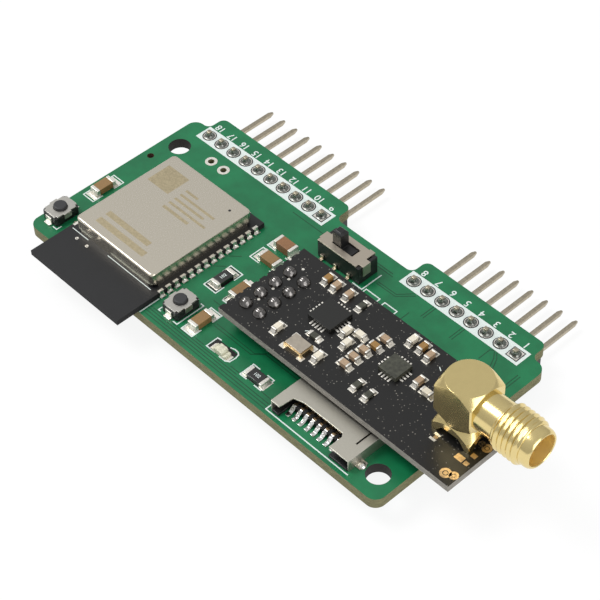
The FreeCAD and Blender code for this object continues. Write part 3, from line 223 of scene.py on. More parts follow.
def add_spread(tree, factor, first, second, low=0.35, high=0.65):
    """A colour that goes from the first to the second as the factor goes from low to high."""
    share = add_node(tree, "ShaderNodeMapRange", {"From Min": low, "From Max": high}, {"Value": factor})
    mix = add_node(tree, "ShaderNodeMixRGB", {"Color1": first, "Color2": second},
                   {"Fac": share.outputs["Result"]})
    return mix.outputs["Color"]


def shaded(rgba, share):
    """The same colour, darker or lighter."""
    return [min(1.0, channel * share) for channel in rgba[:3]] + [1.0]


def board_material(name, mask, edge, roughness, specks=0.0):
    """Solder mask over glass fibre laminate: glossy lacquer on the faces, dull fibre layers on the
    cut edges and, where asked for, pale dust in the mask, of a reach that is a share of its spacing."""
    material, tree, shader, coordinates = start_material(name, roughness)
    clouds = add_node(tree, "ShaderNodeTexNoise", {"Scale": 1 / MASK_CLOUD, "Detail": 3.0},
                      {"Vector": coordinates}).outputs["Fac"]
    face = add_spread(tree, clouds, shaded(mask, 1 - MASK_SPREAD), shaded(mask, 1 + MASK_SPREAD))
    if specks:
        cells = add_node(tree, "ShaderNodeTexVoronoi", {"Scale": 1 / DUST_SPACING}, {"Vector": coordinates})
        hue = add_node(tree, "ShaderNodeSeparateColor", links={"Color": cells.outputs["Color"]})
        reach = add_node(tree, "ShaderNodeMath", {"operation": "MULTIPLY", 1: specks},
                         {0: hue.outputs["Red"]})
        inside = add_node(tree, "ShaderNodeMath", {"operation": "LESS_THAN"},
                          {0: cells.outputs["Distance"], 1: reach.outputs["Value"]})
        face = add_node(tree, "ShaderNodeMixRGB", {"Color2": colours().dust},
                        {"Fac": inside.outputs["Value"], "Color1": face}).outputs["Color"]
    flattened = add_node(tree, "ShaderNodeMapping", {"Scale": (1.0, 1.0, FIBRE_FLATNESS)},
                         {"Vector": coordinates}).outputs["Vector"]
    layers = add_node(tree, "ShaderNodeTexNoise", {"Scale": 1 / FIBRE_LENGTH, "Detail": 4.0},
                      {"Vector": flattened}).outputs["Fac"]
    cut = add_spread(tree, layers, shaded(edge, FIBRE_DARK), shaded(edge, FIBRE_PALE))
    normal = add_node(tree, "ShaderNodeNewGeometry").outputs["Normal"]
    upright = add_node(tree, "ShaderNodeSeparateXYZ", links={"Vector": normal}).outputs["Z"]
    flat = add_node(tree, "ShaderNodeMath", {"operation": "ABSOLUTE"}, {0: upright}).outputs["Value"]
    is_face = add_node(tree, "ShaderNodeMath", {"operation": "GREATER_THAN", 1: FACE_UPRIGHT},
                       {0: flat}).outputs["Value"]
    both = add_node(tree, "ShaderNodeMixRGB", links={"Fac": is_face, "Color1": cut, "Color2": face})
    tree.links.new(both.outputs["Color"], shader.inputs["Base Color"])
    rough = add_node(tree, "ShaderNodeMapRange", {"To Min": SAWN_ROUGHNESS, "To Max": roughness},
                     {"Value": is_face})
    tree.links.new(rough.outputs["Result"], shader.inputs["Roughness"])
    add_grain(tree, shader, coordinates, MASK_GRAIN, MASK_GRAIN_DEPTH)
    return material


def grained(name, rgba, roughness, metallic, grain, depth, spread):
    """A material whose tone and surface vary with the grain that its making left."""
    material, tree, shader, coordinates = start_material(name, roughness, metallic)
    noise = add_grain(tree, shader, coordinates, grain, depth)
    tone = add_spread(tree, noise, shaded(rgba, 1 - spread), shaded(rgba, 1 + spread))
    tree.links.new(tone, shader.inputs["Base Color"])
    return material, tree, shader, noise


def metal_material(name, rgba, roughness, grain=0.3, depth=0.002, spread=0.12):
    """Plated or bare metal, with slightly uneven tone and polish."""
    material, tree, shader, noise = grained(name, rgba, roughness, 1.0, grain, depth, spread)
    smooth, rough = roughness * (1 - POLISH_SPREAD), roughness * (1 + POLISH_SPREAD)
    polish = add_node(tree, "ShaderNodeMapRange", {"To Min": smooth, "To Max": rough}, {"Value": noise})
    tree.links.new(polish.outputs["Result"], shader.inputs["Roughness"])
    return material


def dull_material(name, rgba, roughness, grain=0.15, depth=0.003, spread=0.1, coat=0.0):
    """Plastic, resin, ceramic or ink, with a clear coat where the real one is glazed."""
    material, _, shader, _ = grained(name, rgba, roughness, 0.0, grain, depth, spread)
    shader.inputs["Coat Weight"].default_value = coat
    return material


# How each finish is made: its function, its colours, its roughness and what differs from the
# function's own grain, depth (both in millimetres), spread and coat. Grains that are too fine to
# show in the render are drawn as coarse as they need to show.
FINISHES = {
    # Epoxy lacquer cured over glass fibre: smooth, with soft reflections
    "green_solder_mask": (board_material, ("green_mask", "green_edge"), 0.32, {}),
    # The same lacquer in black, a little rougher, with pale dust in it
    "black_solder_mask": (board_material, ("black_mask", "black_edge"), 0.36, {"specks": 0.22}),
    # Matt black lacquer: an even dark face with hardly a reflection
    "module_solder_mask": (board_material, ("module_mask", "module_mask"), 0.45, {}),
    # Lacquer where it dips into the gap beside a track: darker and as glossy
    "thin_solder_mask": (dull_material, ("green_mask_dark",), 0.35, {"spread": 0.05}),
    # Epoxy ink, screen printed: matt white, slightly uneven
    "screen_printed_ink": (dull_material, ("ink",), 0.6, {"grain": 0.2, "spread": 0.06}),
    # Sheet drawn into a can: satin, near a mirror at a low angle
    "drawn_nickel_silver": (metal_material, ("shield_steel",), 0.27,
                            {"grain": 0.1, "depth": 0.0003, "spread": 0.02}),
    # Sheet burnt by a laser: rougher and warmer than the sheet round it
    "laser_burnt_nickel_silver": (metal_material, ("laser_mark",), 0.45, {"grain": 0.2, "depth": 0.0005}),
    # Stamped sheet with fine rolling grain: a soft grey sheen
    "stamped_nickelled_steel": (metal_material, ("switch_steel",), 0.42,
                                {"grain": 0.1, "depth": 0.0005, "spread": 0.04}),
    # Stamped and tinned sheet: the same sheen, whiter
    "stamped_tinned_steel": (metal_material, ("button_steel",), 0.42,
                             {"grain": 0.1, "depth": 0.0005, "spread": 0.04}),
    # Stamped and folded stainless sheet: an even satin
    "stamped_stainless_steel": (metal_material, ("socket_steel",), 0.42,
                                {"grain": 0.1, "depth": 0.0005, "spread": 0.03}),
    # Lid of the crystal, plated and seam-welded: smooth and satin
    "nickel_plated_kovar": (metal_material, ("switch_steel",), 0.4,
                            {"grain": 0.6, "depth": 0.001, "spread": 0.05}),
    # Drawn wire under thin pale gold: streaked and satin
    "drawn_gold_flashed_brass": (metal_material, ("pin_plate",), 0.36, {"grain": 0.4}),
    # Etched copper under thin gold: warm and satin
    "gold_flashed_copper": (metal_material, ("gold_pad",), 0.35, {}),
    # Metallised rim of a ceramic can under gold: warm and satin
    "gold_plated_ceramic_rim": (metal_material, ("crystal_rim",), 0.35, {}),
    # Turned brass, barrel-plated with gold: bright with a faint satin
    "turned_gold_plated_brass": (metal_material, ("coax_gold",), 0.19,
                                 {"grain": 0.8, "depth": 0.0004, "spread": 0.015}),
    # The same inside the mouth, where the boring tool's marks leave it rough, in a paler gold that is
    # painted light deep in the mouth
    "bored_gold_plated_brass": (metal_material, ("bore_gold",), 0.5,
                                {"grain": 0.8, "depth": 0.0004, "spread": 0.015}),
    # Solder melted in an oven: bright, with small humps
    "reflowed_solder": (metal_material, ("solder",), 0.22, {"grain": 0.35, "depth": 0.02}),
    # Solder from a wave bath: duller, and darker in the hollows of its grain
    "wave_soldered_joint": (metal_material, ("joint_solder",), 0.3,
                            {"grain": 0.3, "depth": 0.03, "spread": 0.4}),
    # Hand-soldered joint: its dark tone is painted reflection of dark surroundings, and its glossy grain
    # gives sharp glints
    "solder_under_flux": (metal_material, ("fluxed_solder",), 0.14,
                          {"grain": 0.45, "depth": 0.06, "spread": 0.3}),
    # Solder that flowed up a plated notch and froze uneven: white flashes beside grey hollows
    "hollow_notch_solder": (metal_material, ("tin_end",), 0.28,
                            {"grain": 0.4, "depth": 0.07, "spread": 0.2}),
    # Sprung bronze strip, formed and tinned: small humps that flash white beside dark
    "formed_tinned_bronze": (metal_material, ("tin_end",), 0.2,
                             {"grain": 0.45, "depth": 0.09, "spread": 0.35}),
    # Tin plated in a barrel: pale, frosted and bright from most sides
    "barrel_plated_tin": (metal_material, ("tin_end",), 0.46, {"grain": 0.2, "depth": 0.012}),
    # Painted shade on drilled glass fibre: a dull dark colour on the hole walls that stands in for the
    # shade inside the holes
    "drilled_glass_fibre": (dull_material, ("hole_wall",), 0.7, {}),
    # The same painted shade, in a dark brown, for the tooling hole
    "stained_glass_fibre": (dull_material, ("via_wall",), 0.7, {}),
    # Titanate ceramic, fired: matt with a fine sandy grain, in the browns of its kinds
    "fired_tan_ceramic": (dull_material, ("tan_ceramic",), 0.5, {"spread": 0.12}),
    "fired_brown_ceramic": (dull_material, ("brown_ceramic",), 0.45, {"spread": 0.12}),
    "fired_pale_tan_ceramic": (dull_material, ("pink_ceramic",), 0.5, {"spread": 0.12}),
    "fired_golden_ceramic": (dull_material, ("golden_ceramic",), 0.45, {"spread": 0.12}),
    # Alumina, fired: chalky white
    "fired_white_ceramic": (dull_material, ("white_ceramic",), 0.5, {"spread": 0.06}),
    # Glass glaze over a resistor: black with a clear shine
    "glazed_black_glass": (dull_material, ("chip_resin",), 0.4, {"coat": 0.6}),
    # Glass-filled nylon, moulded: black and satin with a fine mould texture
    "moulded_black_nylon": (dull_material, ("black_plastic",), 0.42, {"grain": 0.12}),
    # Acetal, moulded: dark grey and soft to the light
    "moulded_grey_acetal": (dull_material, ("plunger_grey",), 0.5, {"grain": 0.12}),
    # Epoxy, moulded round a chip: black and finely pitted
    "moulded_epoxy": (dull_material, ("chip_resin",), 0.5, {"grain": 0.18, "depth": 0.006}),
    # The same epoxy, blotched by flux cleaning
    "worn_moulded_epoxy": (dull_material, ("worn_resin",), 0.6, {"grain": 0.5, "spread": 0.3}),
    # Clear epoxy cast over a pale die: milky and blotched
    "cast_epoxy_lens": (dull_material, ("lens",), 0.4, {"grain": 0.4, "depth": 0.02, "spread": 0.2}),
    # Fluoropolymer, turned: waxy white
    "turned_ptfe": (dull_material, ("insulator",), 0.5, {"spread": 0.02}),
}


def finish(name):
    """The named finish, made when it is first asked for."""
    made = bpy.data.materials.get(name)
    if made:
        return made
    maker, tints, roughness, options = FINISHES[name]
    return maker(name, *[getattr(colours(), tint) for tint in tints], roughness, **options)


# Meshes

# Corners nearer than this are one, flats that turn by less are one, and edges that turn by more are
# rounded
WELD, FLAT_ANGLE, SHARP_ANGLE = 0.0005 * MM, math.radians(0.5), math.radians(35)
# The least turn of a bend, and the least size of a neighbour that takes part in it, as a share
LEAST_BEND, LEAST_NEIGHBOUR = math.radians(1), 0.2
ROUND_SIDES = 28
# Each stretch of a line lies higher than the last by this share of its height, so no two tops are
# in one plane
LINE_LIFT = 0.02
# What a digit's outline is moved outward, as a share of its height
DIGIT_WEIGHT = 0.01


def curved_faces(bm, angle):
    """Whether each face goes on in a bend, so that a flat keeps an even shade up to its rounded
    edges. Only neighbours count that are no slivers and turn by less than the angle."""
    areas = [face.calc_area() for face in bm.faces]
    bm.faces.index_update()
    bends = []
    for face in bm.faces:
        others = [other for edge in face.edges for other in edge.link_faces if other != face]
        bends.append(any(
            areas[other.index] > LEAST_NEIGHBOUR * areas[face.index]
            and LEAST_BEND < face.normal.angle(other.normal, 0.0) < angle for other in others
        ))
    return bends


def make_piece(name, bm, finishes, body=BOARD, stands_for=(), smooth_angle=32):
    """Turn the bmesh into a piece that rides on its body and may stand for CAD nodes."""
    bmesh.ops.recalc_face_normals(bm, faces=bm.faces)
    curved = curved_faces(bm, math.radians(smooth_angle))
    mesh = bpy.data.meshes.new(name)
    bm.to_mesh(mesh)
    bm.free()
    if "custom_normal" in mesh.attributes:
        mesh.attributes.remove(mesh.attributes["custom_normal"])
    for key in finishes:
        mesh.materials.append(finish(key))
    mesh.set_sharp_from_angle(angle=math.radians(smooth_angle))
    mesh.polygons.foreach_set("use_smooth", curved)
    piece = bpy.data.objects.new(name, mesh)
    bpy.context.collection.objects.link(piece)
    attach(piece, body)
    if stands_for:
        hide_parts(*stands_for)


def welded(node):
    """The node's mesh with its split corners joined."""
    bm = bmesh.new()
    bm.from_mesh(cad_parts[node].data)
    bmesh.ops.remove_doubles(bm, verts=bm.verts, dist=WELD)
    return bm


def node_bmesh(node):
    """The node's mesh with its split corners joined and its flat faces whole."""
    bm = welded(node)
    bmesh.ops.dissolve_limit(bm, angle_limit=FLAT_ANGLE, verts=bm.verts, edges=bm.edges)
    return bm


def round_edges(bm, width):
    """Round every sharp edge."""
    sharp = [edge for edge in bm.edges if edge.is_manifold and edge.calc_face_angle() > SHARP_ANGLE]
    bmesh.ops.bevel(bm, geom=sharp, offset=width, offset_type="OFFSET", segments=2, profile=0.5,
                    affect="EDGES", clamp_overlap=True)


def soften(node, edge, key, body=BOARD):
    """A piece in the node's shape, with its edges rounded by the named size, in place of the node."""
    bm = node_bmesh(node)
    round_edges(bm, getattr(sizes(), edge))
    make_piece(f"{node}_finished", bm, [key], body, stands_for=[node])


def dress(node, key):
    """Give a CAD node that stays in view its finish."""
    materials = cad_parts[node].data.materials
    materials.clear()
    materials.append(finish(key))


def island_boxes(node):
    """Low and high corner of each separate solid of a node."""
    bm = welded(node)
    left = set(bm.verts)
    boxes = []
    while left:
        front = [left.pop()]
        reached = []
        while front:
            vertex = front.pop()
            reached.append(vertex.co.copy())
            for edge in vertex.link_edges:
                other = edge.other_vert(vertex)
                if other in left:
                    left.remove(other)
                    front.append(other)
        boxes.append(tuple(
            Vector([pick(point[axis] for point in reached) for axis in range(3)]) for pick in (min, max)
        ))
    bm.free()
    return sorted(boxes, key=lambda pair: tuple(pair[0]))


def add_prism(bm, points, low, high):
    """An upright prism over a flat outline."""
    bottom, top = [[bm.verts.new((*point, level)) for point in points] for level in (low, high)]
    bm.faces.new(bottom[::-1])
    bm.faces.new(top)
    skin_rows(bm, (bottom, top))


def skin_rows(bm, rows, material=0):
    """Faces all round between each row of corners and the next. A row of one corner is a tip."""
    for below, above in zip(rows, rows[1:]):
        count = max(len(below), len(above))
        for number in range(count):
            after = (number + 1) % count
            corners = (below[number % len(below)], below[after % len(below)],
                       above[after % len(above)], above[number % len(above)])
            bm.faces.new(list(dict.fromkeys(corners))).material_index = material


def circle(x, y, radius, sides):
    """Points evenly round a centre."""
    turn = 2 * math.pi / sides
    return [(x + radius * math.cos(turn * n), y + radius * math.sin(turn * n)) for n in range(sides)]


def add_block(bm, low, high):
    """A block between two corners."""
    (left, front, bottom), (right, back, top) = low, high
    add_prism(bm, [(left, front), (right, front), (right, back), (left, back)], bottom, top)


def add_fields(bm, fields, low, high):
    """A block over each field, which is given in millimetres: left, front, right, back."""
    for left, front, right, back in millimetres(*fields):
        add_block(bm, (left, front, low), (right, back, high))


def add_disc(bm, x, y, low, radius, height, sides=ROUND_SIDES):
    """A flat round disc."""
    add_prism(bm, circle(x, y, radius, sides), low, low + height)


def add_ring(bm, x, y, low, inside, outside, height, material=0, sides=ROUND_SIDES):
    """A flat ring with a hole."""
    corners = ((inside, low), (outside, low), (outside, low + height), (inside, low + height))
    loops = [
        [bm.verts.new((*point, level)) for point in circle(x, y, radius, sides)]
        for radius, level in corners
    ]
    skin_rows(bm, loops + loops[:1], material)


def add_line(bm, points, width, low, height):
    """A flat line of one width along points, with square ends and filled corners."""
    half = width / 2
    for start, end in zip(points, points[1:]):
        along = (Vector(end) - Vector(start)).normalized() * half
        across = Vector((-along.y, along.x))
        first, last = Vector(start) - along, Vector(end) + along
        add_prism(bm, [first - across, last - across, last + across, first + across], low, low + height)
        low += height * LINE_LIFT


def add_lathe(bm, centre, profile, sides=ROUND_SIDES):
    """A turned form about an upright axis: the profile gives radius and height, from the bottom."""
    skin_rows(bm, [
        [bm.verts.new((*point, level)) for point in circle(*centre, radius, sides if radius else 1)]
        for radius, level in profile
    ])


def add_number(bm, text, x, y, low, height, turn=math.pi):
    """A printed number at x, y, to be read from the board's back edge where no turn is given."""
    curve = bpy.data.curves.new("number", "FONT")
    curve.body = text
    curve.size = height
    curve.align_x, curve.align_y = "CENTER", "CENTER"
    curve.extrude = sizes().ink_depth / 2
    curve.offset = height * DIGIT_WEIGHT
    writer = bpy.data.objects.new("number", curve)
    bpy.context.collection.objects.link(writer)
    bpy.context.view_layer.update()
    mesh = bpy.data.meshes.new_from_object(writer.evaluated_get(bpy.context.evaluated_depsgraph_get()))
    mesh.transform(Matrix.Translation((x, y, low)) @ Matrix.Rotation(turn, 4, "Z"))
    bm.from_mesh(mesh)
    bpy.data.objects.remove(writer)
    bpy.data.curves.remove(curve)
    bpy.data.meshes.remove(mesh)


def millimetres(*points):
    """Points given in millimetres, in metres."""
    return [tuple(part * MM for part in point) for point in points]


# Print, tracks and pads. Places in the tables are the real board's, in millimetres. Heights are
# multiples of the ink depth, so that no two of these layers share a plane.

# Printed outlines of parts: low and high corner, and the axis along which the part hides the middle
PART_FRAMES = [
    ((-1.9, -15.75), (0.2, -10.35), "Y"),
    ((26.5, -22.5), (28.55, -17.4), "Y"),
    ((22.65, -15.3), (24.95, -10.55), "Y"),
    ((23.1, -7.6), (28.6, -5.2), "X"),
    ((26.55, -15.45), (28.1, -11.3), "Y"),
    ((23.15, -4.5), (28.2, -2.3), "X"),
    ((37.55, -22.35), (41.35, -20.05), "X"),
]
# Share of a frame's side that shows at each end
FRAME_LEG = 0.3
# Loose lines, and last the open outline of the light
PRINTED_LINES = [
    ((37.8, 2.2), (37.8, -1.35), (36.15, -1.35)),
    ((20.55, -24.4), (20.55, -21.2)),
    ((44.0, -23.0), (44.0, -23.9), (58.3, -23.9)),
    ((38.2, -1.4), (38.2, -0.9), (40.7, -0.9), (40.7, -1.4)),
    ((41.6, -1.4), (41.6, -0.9), (43.8, -0.9), (43.8, -1.4)),
    ((-2.45, -18.5), (-2.45, -18.0), (-1.7, -18.0)),
    ((0.2, -22.65), (0.95, -22.65), (0.95, -21.9)),
    ((21.95, -21.9), (21.95, -22.45), (22.3, -22.45)),
    ((24.9, -22.45), (25.6, -22.45), (25.6, -17.9), (25.1, -17.9)),
    ((32.58, -22.15), (31.04, -22.2), (31.03, -20.29), (31.63, -20.23)),
    ((33.49, -20.23), (34.12, -20.05), (34.7, -20.1), (35.05, -20.35),
     (35.21, -20.95), (35.13, -21.93), (34.61, -22.24), (33.56, -22.26)),
]
# Dark gaps beside tracks
TRACK_GAPS = [
    ((38.4, 1.15), (41.6, 1.2), (43.1, 2.9)), ((38.4, 0.8), (41.75, 0.85), (43.5, 2.7)),
    ((46.5, 0.7), (46.5, 3.0)), ((46.9, 0.7), (46.9, 3.0)),
    ((51.6, 0.6), (51.6, 3.0)), ((52.0, 0.6), (52.0, 3.0)),
    ((56.6, 0.7), (56.6, 2.7), (57.0, 3.0)), ((57.6, 2.9), (58.3, 2.1), (59.1, 0.4), (59.1, -2.2)),
    ((57.2, 2.9), (57.9, 2.0), (58.7, 0.2), (58.7, -2.2)),
    ((20.6, -23.55), (44.0, -23.55)), ((20.6, -23.1), (43.6, -23.1)), ((20.6, -22.7), (37.2, -22.7)),
    ((28.9, -22.3), (30.6, -22.3)), ((21.2, -24.0), (44.2, -24.0)),
    ((35.8, -22.3), (37.3, -22.3)), ((41.6, -22.4), (43.7, -22.4)),
    ((29.2, -19.2), (36.0, -19.2), (37.4, -17.9), (44.2, -17.9)),
    ((29.2, -18.75), (36.3, -18.75), (37.7, -17.45), (44.2, -17.45)),
    ((25.8, -16.3), (29.3, -16.3)), ((20.9, -12.3), (22.2, -11.1)), ((20.9, -9.7), (22.3, -8.4)),
    ((21.0, 2.2), (28.3, 2.2)), ((28.5, 3.1), (39.0, 3.1)), ((28.5, 3.5), (38.6, 3.5)),
    ((45.0, 0.0), (45.0, -3.2)), ((61.9, 2.0), (61.9, -3.4), (60.4, -5.0)),
    ((62.3, 2.0), (62.3, -3.6), (60.6, -5.4)),
]
# The next five tables hold left, front, right and back.
# Painted shade: a dark field inside three outlines, where the parts over them shade the board, lower than
# the ink
SHADE_FIELD_LEVEL = 0.8
PAINTED_SHADE_FIELDS = [
    (31.15, -22.1, 34.95, -20.35), (37.75, -22.2, 41.1, -20.35), (22.8, -15.15, 24.8, -10.7),
]
# Pads under the light's ends
LIGHT_PADS = [(31.55, -22.15, 32.75, -21.05), (33.75, -22.15, 34.95, -21.05)]
# Plain fields and bars burnt into the shield
SHIELD_FIELDS = [
    (4.7, -9.5, 8.9, -5.6), (10.2, -7.5, 12.6, -7.1), (10.2, -8.5, 17.0, -8.1),
    (10.2, -9.5, 16.0, -9.1), (10.2, -10.5, 17.4, -10.1), (10.2, -11.6, 15.2, -11.1),
    (6.0, -17.9, 14.6, -17.0), (6.0, -19.6, 15.6, -18.6),
]
# Gold pads of the radio board
GOLD_PADS = [
    (67.1, -15.1, 68.3, -14.25), (68.5, -15.1, 69.15, -14.5), (68.35, -13.65, 69.1, -13.0),
    (63.35, -14.7, 63.85, -14.25),
]
# Tinned pads of the radio board
BRIDGE_PADS = [(63.05, -15.1, 63.95, -14.75), (63.05, -14.2, 63.95, -13.85)]
# Gold rings of the radio board, each round a dot: x, y and radius
GOLD_RINGS = [(68.1, -17.5, 0.75), (69.08, -17.1, 0.6), (68.1, -11.3, 0.45), (69.0, -11.4, 0.66)]
# Share of such a ring's radius that its hole and its dot have
RING_HOLE, RING_DOT = 0.5, 0.36
# Printed lines and solder specks of the radio board
RADIO_LINES = [((40.4, -13.7), (41.0, -13.2)), ((40.9, -14.0), (41.5, -13.5)), ((56.3, -6.2), (56.8, -6.5))]
SOLDER_SPECKS = [
    (32.3, -14.2), (32.4, -9.09), (32.39, -6.56), (29.88, -6.53), (32.21, -11.64),
    (34.12, -11.34), (34.28, -13.75), (34.11, -8.72), (31.55, -13.94),
]
SPECK_RADIUS, SPECK_SIDES = 0.2 * MM, 9
# Width of the lines printed on the two black boards
THIN_LINE = 0.12 * MM

# From the front of the header joints to the middle of the pin row
ROW_DEPTH = 0.85 * MM
# White strip past the outer pins, and its numbers' distance from the pins
STRIP_ENDS, STRIP_HALF, NUMBER_STEP = 1.4 * MM, 1.37 * MM, 2.1 * MM
# Header pads and the dark clearance round them: radii, and halves of the square ones
PAD_RADIUS, CLEAR_RADIUS = 0.88 * MM, 1.03 * MM
SQUARE_PADS, PAD_HALF, CLEAR_HALF = (9, 1), 0.82 * MM, 0.95 * MM
# Rings round the pins below the board, and two test holes with their rings: inner and outer radius
UNDER_RING = (0.4 * MM, 0.85 * MM)
TEST_HOLES, TEST_RING = [(5.5, 1.07), (8.04, 1.07)], (0.46 * MM, 0.88 * MM)
# Pads under small parts: their reach past a soldered end, the reach where a resistor is this near,
# and their margin beside the end
MAIN_REACH, SHORT_REACH, RESISTOR_NEAR, MAIN_MARGIN = 0.5 * MM, 0.12 * MM, 1.6 * MM, 0.12 * MM
RADIO_REACH, RADIO_MARGIN = 0.12 * MM, 0.08 * MM
# Halves of the pads at the crystal's corners
CRYSTAL_PAD = (0.45 * MM, 0.4 * MM)
# Mounting holes and tooling hole: x, y and radius
DRILLED_HOLES = [(0.0, 0.0, 1.6), (60.8, -21.2, 1.6), (-1.43, -4.13, 0.5)]
# Thickness and sides of the painted shade sleeves on the hole walls
HOLE_SKIN, HOLE_SIDES = 0.02 * MM, 48
RESISTOR_NUMBER, RESISTOR_DIGITS = "102", 0.7 * MM


def header_places(name, first, last):
    """Pin centres and printed numbers of a header, from its pins' box."""
    low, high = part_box(f"{name}_header_pins")
    count = abs(last - first) + 1
    start = (low.x + high.x) / 2 - PIN_PITCH * (count - 1) / 2
    row_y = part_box(f"{name}_header_solder")[0].y + ROW_DEPTH
    step = 1 if last > first else -1
    return [(start + PIN_PITCH * n, row_y, first + step * n) for n in range(count)]


def header_rows():
    """The pin centres and numbers of both edge headers."""
    return [header_places("long", 18, 9), header_places("short", 8, 1)]


def frame_ends(low, high, axis):
    """The two ends of a printed outline."""
    (left, front), (right, back) = millimetres(low, high)
    if axis == "Y":
        leg = (back - front) * FRAME_LEG
        return [[(left, front + leg), (left, front), (right, front), (right, front + leg)],
                [(left, back - leg), (left, back), (right, back), (right, back - leg)]]
    leg = (right - left) * FRAME_LEG
    return [[(left + leg, front), (left, front), (left, back), (left + leg, back)],
            [(right - leg, front), (right, front), (right, back), (right - leg, back)]]


def print_main_board():
    """White strips, outlines and pin numbers, with the dark gaps beside tracks."""
    depth = sizes().ink_depth
    ink, gaps = bmesh.new(), bmesh.new()
    for places in header_rows():
        (left, y, _), right = places[0], places[-1][0]
        add_block(ink, (left - STRIP_ENDS, y - STRIP_HALF, BOARD_TOP),
                  (right + STRIP_ENDS, y + STRIP_HALF, BOARD_TOP + 2 * depth))
        for x, y, number in places:
            add_number(ink, str(number), x, y + NUMBER_STEP, BOARD_TOP + depth, sizes().digit_height)
    lines = [end for row in PART_FRAMES for end in frame_ends(*row)]
    for points in lines + [millimetres(*points) for points in PRINTED_LINES]:
        add_line(ink, points, sizes().ink_line, BOARD_TOP, 2 * depth)
    for points in TRACK_GAPS:
        add_line(gaps, millimetres(*points), sizes().track_gap, BOARD_TOP, depth)
    make_piece("main_board_print", ink, ["screen_printed_ink"])
    make_piece("main_board_track_gaps", gaps, ["thin_solder_mask"])


def add_pads_under(bm, node, board_top, usual_reach, margin, short_for=None):
    """A bright pad under each soldered end of a node's small parts, with reach past the end, which
    is short next to the solids of one other node."""
    tight = [(low + high) / 2 for low, high in island_boxes(short_for)] if short_for else []
    boxes = island_boxes(node)
    for low, high in boxes:
        partner = min((pair for pair in boxes if pair[0] != low),
                      key=lambda pair: ((pair[0] + pair[1]) - (low + high)).length)
        away = ((low + high) - (partner[0] + partner[1])) / 2
        middle = (low + high) / 2
        near = any((middle - spot).length < RESISTOR_NEAR for spot in tight)
        reach = SHORT_REACH if near else usual_reach
        axis = 0 if abs(away.x) > abs(away.y) else 1
        first, last = list(low.xy), list(high.xy)
        first[1 - axis] -= margin
        last[1 - axis] += margin
        if away[axis] > 0:
            last[axis] += reach
        else:
            first[axis] -= reach
        add_block(bm, (*first, board_top), (*last, board_top + 2 * sizes().ink_depth))


def plate_main_board():
    """Bare pads and rings of the main board, the dark clearance round the header pads, and painted shade
    inside three part outlines.
    """
    depth = sizes().ink_depth
    pads, clearance_and_shade = bmesh.new(), bmesh.new()
    # Dark clearance and pad: shape, half of the square one, radius and height
    layers = ((clearance_and_shade, CLEAR_HALF, CLEAR_RADIUS, 3 * depth), (pads, PAD_HALF, PAD_RADIUS, 4 * depth))
    for x, y, number in sum(header_rows(), []):
        for bm, half, radius, height in layers:
            if number in SQUARE_PADS:
                add_block(bm, (x - half, y - half, BOARD_TOP), (x + half, y + half, BOARD_TOP + height))
            else:
                add_disc(bm, x, y, BOARD_TOP, radius, height)
    # Painted shade inside three part outlines, where the parts shade the board
    add_fields(clearance_and_shade, PAINTED_SHADE_FIELDS, BOARD_TOP, BOARD_TOP + SHADE_FIELD_LEVEL * depth)
    for x, y in millimetres(*TEST_HOLES):
        add_ring(pads, x, y, BOARD_TOP, *TEST_RING, 3 * depth)
        add_ring(pads, x, y, -depth, *TEST_RING, depth)
    for x, y, _ in sum(header_rows(), []):
        add_ring(pads, x, y, -2 * depth, *UNDER_RING, 2 * depth)
    add_pads_under(pads, "board_part_ends", BOARD_TOP, MAIN_REACH, MAIN_MARGIN, "board_resistors")
    add_fields(pads, LIGHT_PADS, BOARD_TOP, BOARD_TOP + 2 * depth)
    make_piece("main_board_pads", pads, ["barrel_plated_tin"])
    # The dark clearance and the painted shade under three parts, in the black plastic finish
    make_piece("dark_surrounds", clearance_and_shade, ["moulded_black_nylon"])


def wall_holes():
    """Painted shade: dark sleeves on the drilled walls of the two mounting holes and the tooling hole."""
    bm = bmesh.new()
    low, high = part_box("main_board")
    for x, y, radius in millimetres(*DRILLED_HOLES):
        add_ring(bm, x, y, low.z, radius - HOLE_SKIN, radius, high.z - low.z, int(radius < MM), HOLE_SIDES)
    make_piece("drilled_hole_walls", bm, ["drilled_glass_fibre", "stained_glass_fibre"])


def print_resistors():
    """The plain value number on each resistor of the main board."""
    ink = bmesh.new()
    for low, high in island_boxes("board_resistors"):
        turn = math.pi / 2 if high.y - low.y > high.x - low.x else 0.0
        x, y = (low.x + high.x) / 2, (low.y + high.y) / 2
        add_number(ink, RESISTOR_NUMBER, x, y, high.z, RESISTOR_DIGITS, turn)
    make_piece("resistor_numbers", ink, ["screen_printed_ink"])


